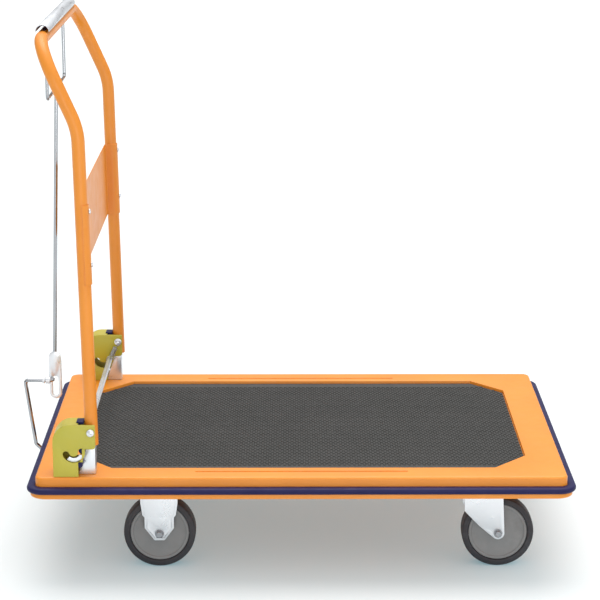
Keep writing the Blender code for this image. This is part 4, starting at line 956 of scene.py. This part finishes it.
def build_grip():
    """The brake grip: a half-round metal shell over the top bar, with beads and two slots; the slots are dark
    patches of painted shade, and a dark sheet inside the shell is painted shade for its shaded inside.
    """
    p = Piece("grip_shell", GRIP, "brake_linkage", "brake_grip")
    centre_z = TOP_BAR_Z + 0.010
    outer, inner, reach = 0.0116, 0.0104, 0.205
    loops = []
    for y, pull in ((-reach, 0.0004), (0.0005 - reach, 0.0), (reach - 0.0005, 0.0), (reach, 0.0004)):
        section = arc((0, 0), outer - pull, 0, math.pi, 28) + arc((0, 0), inner + pull, math.pi, -math.pi, 28)
        loops.append(p.ring([(BAR_AXIS_X + x, y, centre_z + z) for x, z in section]))
    p.join(loops)
    p.fill(loops[0])
    p.fill(loops[-1])
    for side in (-1, 1):
        for bead_y in (0.163, 0.097):
            bead = arc((0, 0), outer - 0.0001, math.radians(50), math.radians(80), 16)
            p.wire([(BAR_AXIS_X + x, side * bead_y, centre_z + z) for x, z in bead], 0.0004, 8)
    p.done(40)
    # painted shade: a dark sheet inside the shell where its inside lies in shadow
    inner_shade = Piece("grip_inner_shade", NAVY, "brake_linkage")
    bow = arc((0, 0), inner - 0.0002, math.radians(22), math.radians(136), 20)
    bow += arc((0, 0), inner - 0.0006, math.radians(158), -math.radians(136), 20)
    ends = []
    for y in (0.0006 - reach, reach - 0.0006):
        ends.append(inner_shade.ring([(BAR_AXIS_X + x, y, centre_z + z) for x, z in bow]))
    inner_shade.bridge(*ends)
    for end in ends:
        inner_shade.fill(end)
    inner_shade.done()
    # painted shade: dark slot-shaped patches on the shell stand for the slots' shaded openings
    dark = Piece("grip_slot_shade", NAVY, "brake_linkage")
    lean = math.radians(128)
    out = Vector((math.cos(lean), 0, math.sin(lean)))
    along = Vector((-math.sin(lean), 0, math.cos(lean)))
    for slot_y in (-0.096, 0.177):
        at = Vector((BAR_AXIS_X, slot_y, centre_z)) + out * outer
        slot = groove_outline(0, 0.0036, 0.0014)
        dark.slab(slot, 0.0005, 0.0002, lambda u, v, w, at=at: at + Vector((0, u, 0)) + along * v + out * w)
    dark.done()


def build_yoke():
    """The yoke, the rod, the slotted strap, and the sleeves that guide the yoke."""
    top, low, bend = 0.7450, 0.614, 0.008
    p = Piece("yoke_wire", CHROME, "brake_linkage", "brake_yoke")
    corners = [(ARM_X, -ARM_Y, top), (ARM_X, -ARM_Y, low), (ARM_X, ARM_Y, low), (ARM_X, ARM_Y, top)]
    p.wire(rounded(corners, (bend, bend), 10), 0.003, 20)
    weld = [(0.0029, -0.007), (0.0042, -0.0066), (0.0046, -0.004)]
    p.turn((ARM_X, 0, low), (0, 1, 0), both_sides(weld), 24)
    p.done(40)
    rod = Piece("pull_rod", CHROME, "brake_linkage", "brake_rod")
    foot_x = -0.4455
    head, foot = Vector((ARM_X, 0, low - 0.0033)), Vector((foot_x, 0, 0.1343))
    rod.wire([head, foot], 0.0035, 24)
    rod.done(40)
    strap = Piece("strap_plate", ZINC, "brake_linkage", "rod_strap")
    outline = upright_oval(foot_x, 0.045, 0.134, 0.0115, 20)
    hole = upright_oval(foot_x, 0.051, 0.088, 0.005, 12)
    strap.slab(outline, 0.003, 0.0009, upright(0), (hole,))
    strap.done()
    for name, side in SIDES:
        bush = Piece("guide_sleeve_" + name, STEEL, "handle", "guide_bush_" + name)
        shape = [(0.0034, 0.008), (0.0046, 0.008), (0.0046, -0.0113), (0.0060, -0.0113), (0.0065, -0.0118)]
        shape += [(0.0065, -0.0136), (0.0060, -0.0143), (0.0036, -0.0143), (0.0034, -0.0140)]
        bush.turn((ARM_X, side * ARM_Y, TOP_BAR_Z), (0, 0, 1), shape, 28, closed=True)
        bush.done()


def build_crank():
    """The crank wire round the deck's end, with its nut."""
    p = Piece("crank_wire", CHROME, "brake_crankshaft", "brake_crank")
    high, y, radius = 0.082, -0.008, 0.0035
    corners = [(-0.450, -0.0022, high), (-0.450, y, high), (-0.500, y, high), (-0.484, y, -0.039)]
    corners += [(-0.473, y, SHAFT.z), (SHAFT.x - 0.0063, y, SHAFT.z)]
    p.wire(rounded(corners, (0.004, 0.006, 0.006, 0.006), 10), radius, 24)
    p.done(40)
    collar = Piece("crank_nut", ZINC, "brake_crankshaft", "crank_collar")
    nut = [(0.0036, -0.004), (0.0058, -0.004), (0.0066, -0.0032)]
    ring = [(0.0036, -0.0022), (0.0056, -0.0022), (0.0060, -0.0016)]
    for x, half in ((-0.458, nut), (-0.466, ring)):
        collar.turn((x, y, high), (1, 0, 0), both_sides(half), 28, closed=True)
    collar.done(30)


def build_shaft():
    """The brake's cross shaft, with its shoes, its hangers and its return spring."""
    p = Piece("cross_shaft", STEEL, "brake_crankshaft", "brake_shaft")
    half = 0.222
    profile = [(0, -half), (0.0052, -half), (0.006, -half + 0.0008)]
    profile += [(0.006, half - 0.0008), (0.0052, half), (0, half)]
    p.turn(SHAFT, (0, 1, 0), profile, 28)
    p.done(30)
    for name, side in SIDES:
        build_shoe(name, side)
        build_bearing(name, side)
    p = Piece("return_coil", STEEL, replaces="brake_spring")
    radius, turns, per_turn, pitch, leg = 0.0078, 5, 20, 0.0024, 0.018
    path = [Vector((SHAFT.x + radius, 0.060, SHAFT.z + leg))]
    for i in range(turns * per_turn + 1):
        a = 2 * math.pi * i / per_turn
        x, z = SHAFT.x + radius * math.cos(a), SHAFT.z - radius * math.sin(a)
        path.append(Vector((x, 0.060 + pitch * i / per_turn, z)))
    path.append(path[-1] + Vector((0, 0, leg)))
    p.wire(path, 0.0006, 8)
    p.done()


def build_shoe(name, side):
    """A bent lever from the shaft to a rubber pad just off the tyre."""
    angle = math.radians(105)
    normal = Vector((math.cos(angle), math.sin(angle)))
    tangent = Vector((normal.y, -normal.x))
    contact = Vector((RIGID_X, AXLE_Z)) + normal * 0.0629
    back = contact + normal * 0.0083
    heel, toe = back - tangent * 0.012, back + tangent * 0.012
    centre = Vector((SHAFT.x, SHAFT.z))
    start = centre + (heel - centre).normalized() * 0.0078
    y = side * CASTER_Y
    p = Piece("shoe_arm_" + name, STEEL, "brake_crankshaft", "brake_shoe_" + name)
    path = rounded([(start.x, y, start.y), (heel.x, y, heel.y), (toe.x, y, toe.y)], (0.004,), 6)
    edge, half_sheet, half_width = 0.0006, 0.002, 0.010
    section = [(-half_sheet + edge, -half_width), (half_sheet - edge, -half_width)]
    section += [(half_sheet, -half_width + edge), (half_sheet, half_width - edge)]
    section += [(-u, -v) for u, v in section]
    across = Vector((start.x - heel.x, start.y - heel.y)).normalized()
    p.sweep(path, section, up=(-across.y, 0, across.x))
    ring = both_sides([(0.0063, -0.010), (0.0088, -0.010), (0.0095, -0.0093)])
    p.turn((SHAFT.x, y, SHAFT.z), (0, 1, 0), ring, 32, closed=True)
    p.done(30)
    pad = Piece("shoe_rubber_" + name, TYRE, "brake_crankshaft", "shoe_pad_" + name)
    half, depth = tangent * 0.012, normal * 0.006
    corners = (contact - half, contact + half, contact + half + depth, contact - half + depth)
    pad.slab([tuple(c) for c in corners], 0.026, 0.0007, upright(y))
    pad.done()


def build_bearing(name, side):
    p = Piece("shaft_hanger_" + name, STEEL, replaces="brake_bearing_" + name)
    half, top, low = 0.015, UNDERSIDE, SHAFT.z - 0.013
    foot = arc((SHAFT.x, low + half), half, math.pi, math.pi, 18)
    outline = [(SHAFT.x - half, top)] + foot + [(SHAFT.x + half, top)]
    bore = round_hole((SHAFT.x, SHAFT.z), 0.0063, 20)
    p.slab(outline, 0.004, 0.0006, upright(side * 0.150), (bore,))
    p.done()


build_pan()
build_mat()
build_bumper()
for side_name, side_sign in SIDES:
    build_channel(side_name, side_sign)
    build_bracket(side_name, side_sign)
    build_liner(side_name, side_sign)
    build_notch_shade_disc(side_name, side_sign)
    build_pedestal(side_name, side_sign)
    build_buffer(side_name, side_sign)
    build_pivot_bolt(side_name, side_sign)
    build_wheel(side_name, side_sign, RIGID_X, "rigid")
    build_wheel(side_name, side_sign, SWIVEL_AXLE_X, "swivel")
    build_axle(side_name, side_sign, RIGID_X, "rigid", "deck")
    build_axle(side_name, side_sign, SWIVEL_AXLE_X, "swivel", "swivel_" + side_name)
    build_fork(side_name, side_sign, RIGID_X, "rigid", "deck", PLATE_TOP, rigid_leg)
    build_fork(side_name, side_sign, SWIVEL_AXLE_X, "swivel", "swivel_" + side_name, -0.0427, swivel_leg)
    build_swivel_head(side_name, side_sign)
    build_latch_spring(side_name, side_sign)
build_tube()
build_panel()
build_latch()
build_grip()
build_yoke()
build_crank()
build_shaft()

floor_mesh = bpy.data.meshes.new("studio_floor")
REACH = 60.0
floor_corners = [(x * REACH, y * REACH, 0) for x, y in ((-1, -1), (1, -1), (1, 1), (-1, 1))]
floor_mesh.from_pydata(floor_corners, [], [(0, 1, 2, 3)])
floor_mesh.materials.append(FLOOR)
floor = bpy.data.objects.new("studio_floor", floor_mesh)
bpy.context.scene.collection.objects.link(floor)
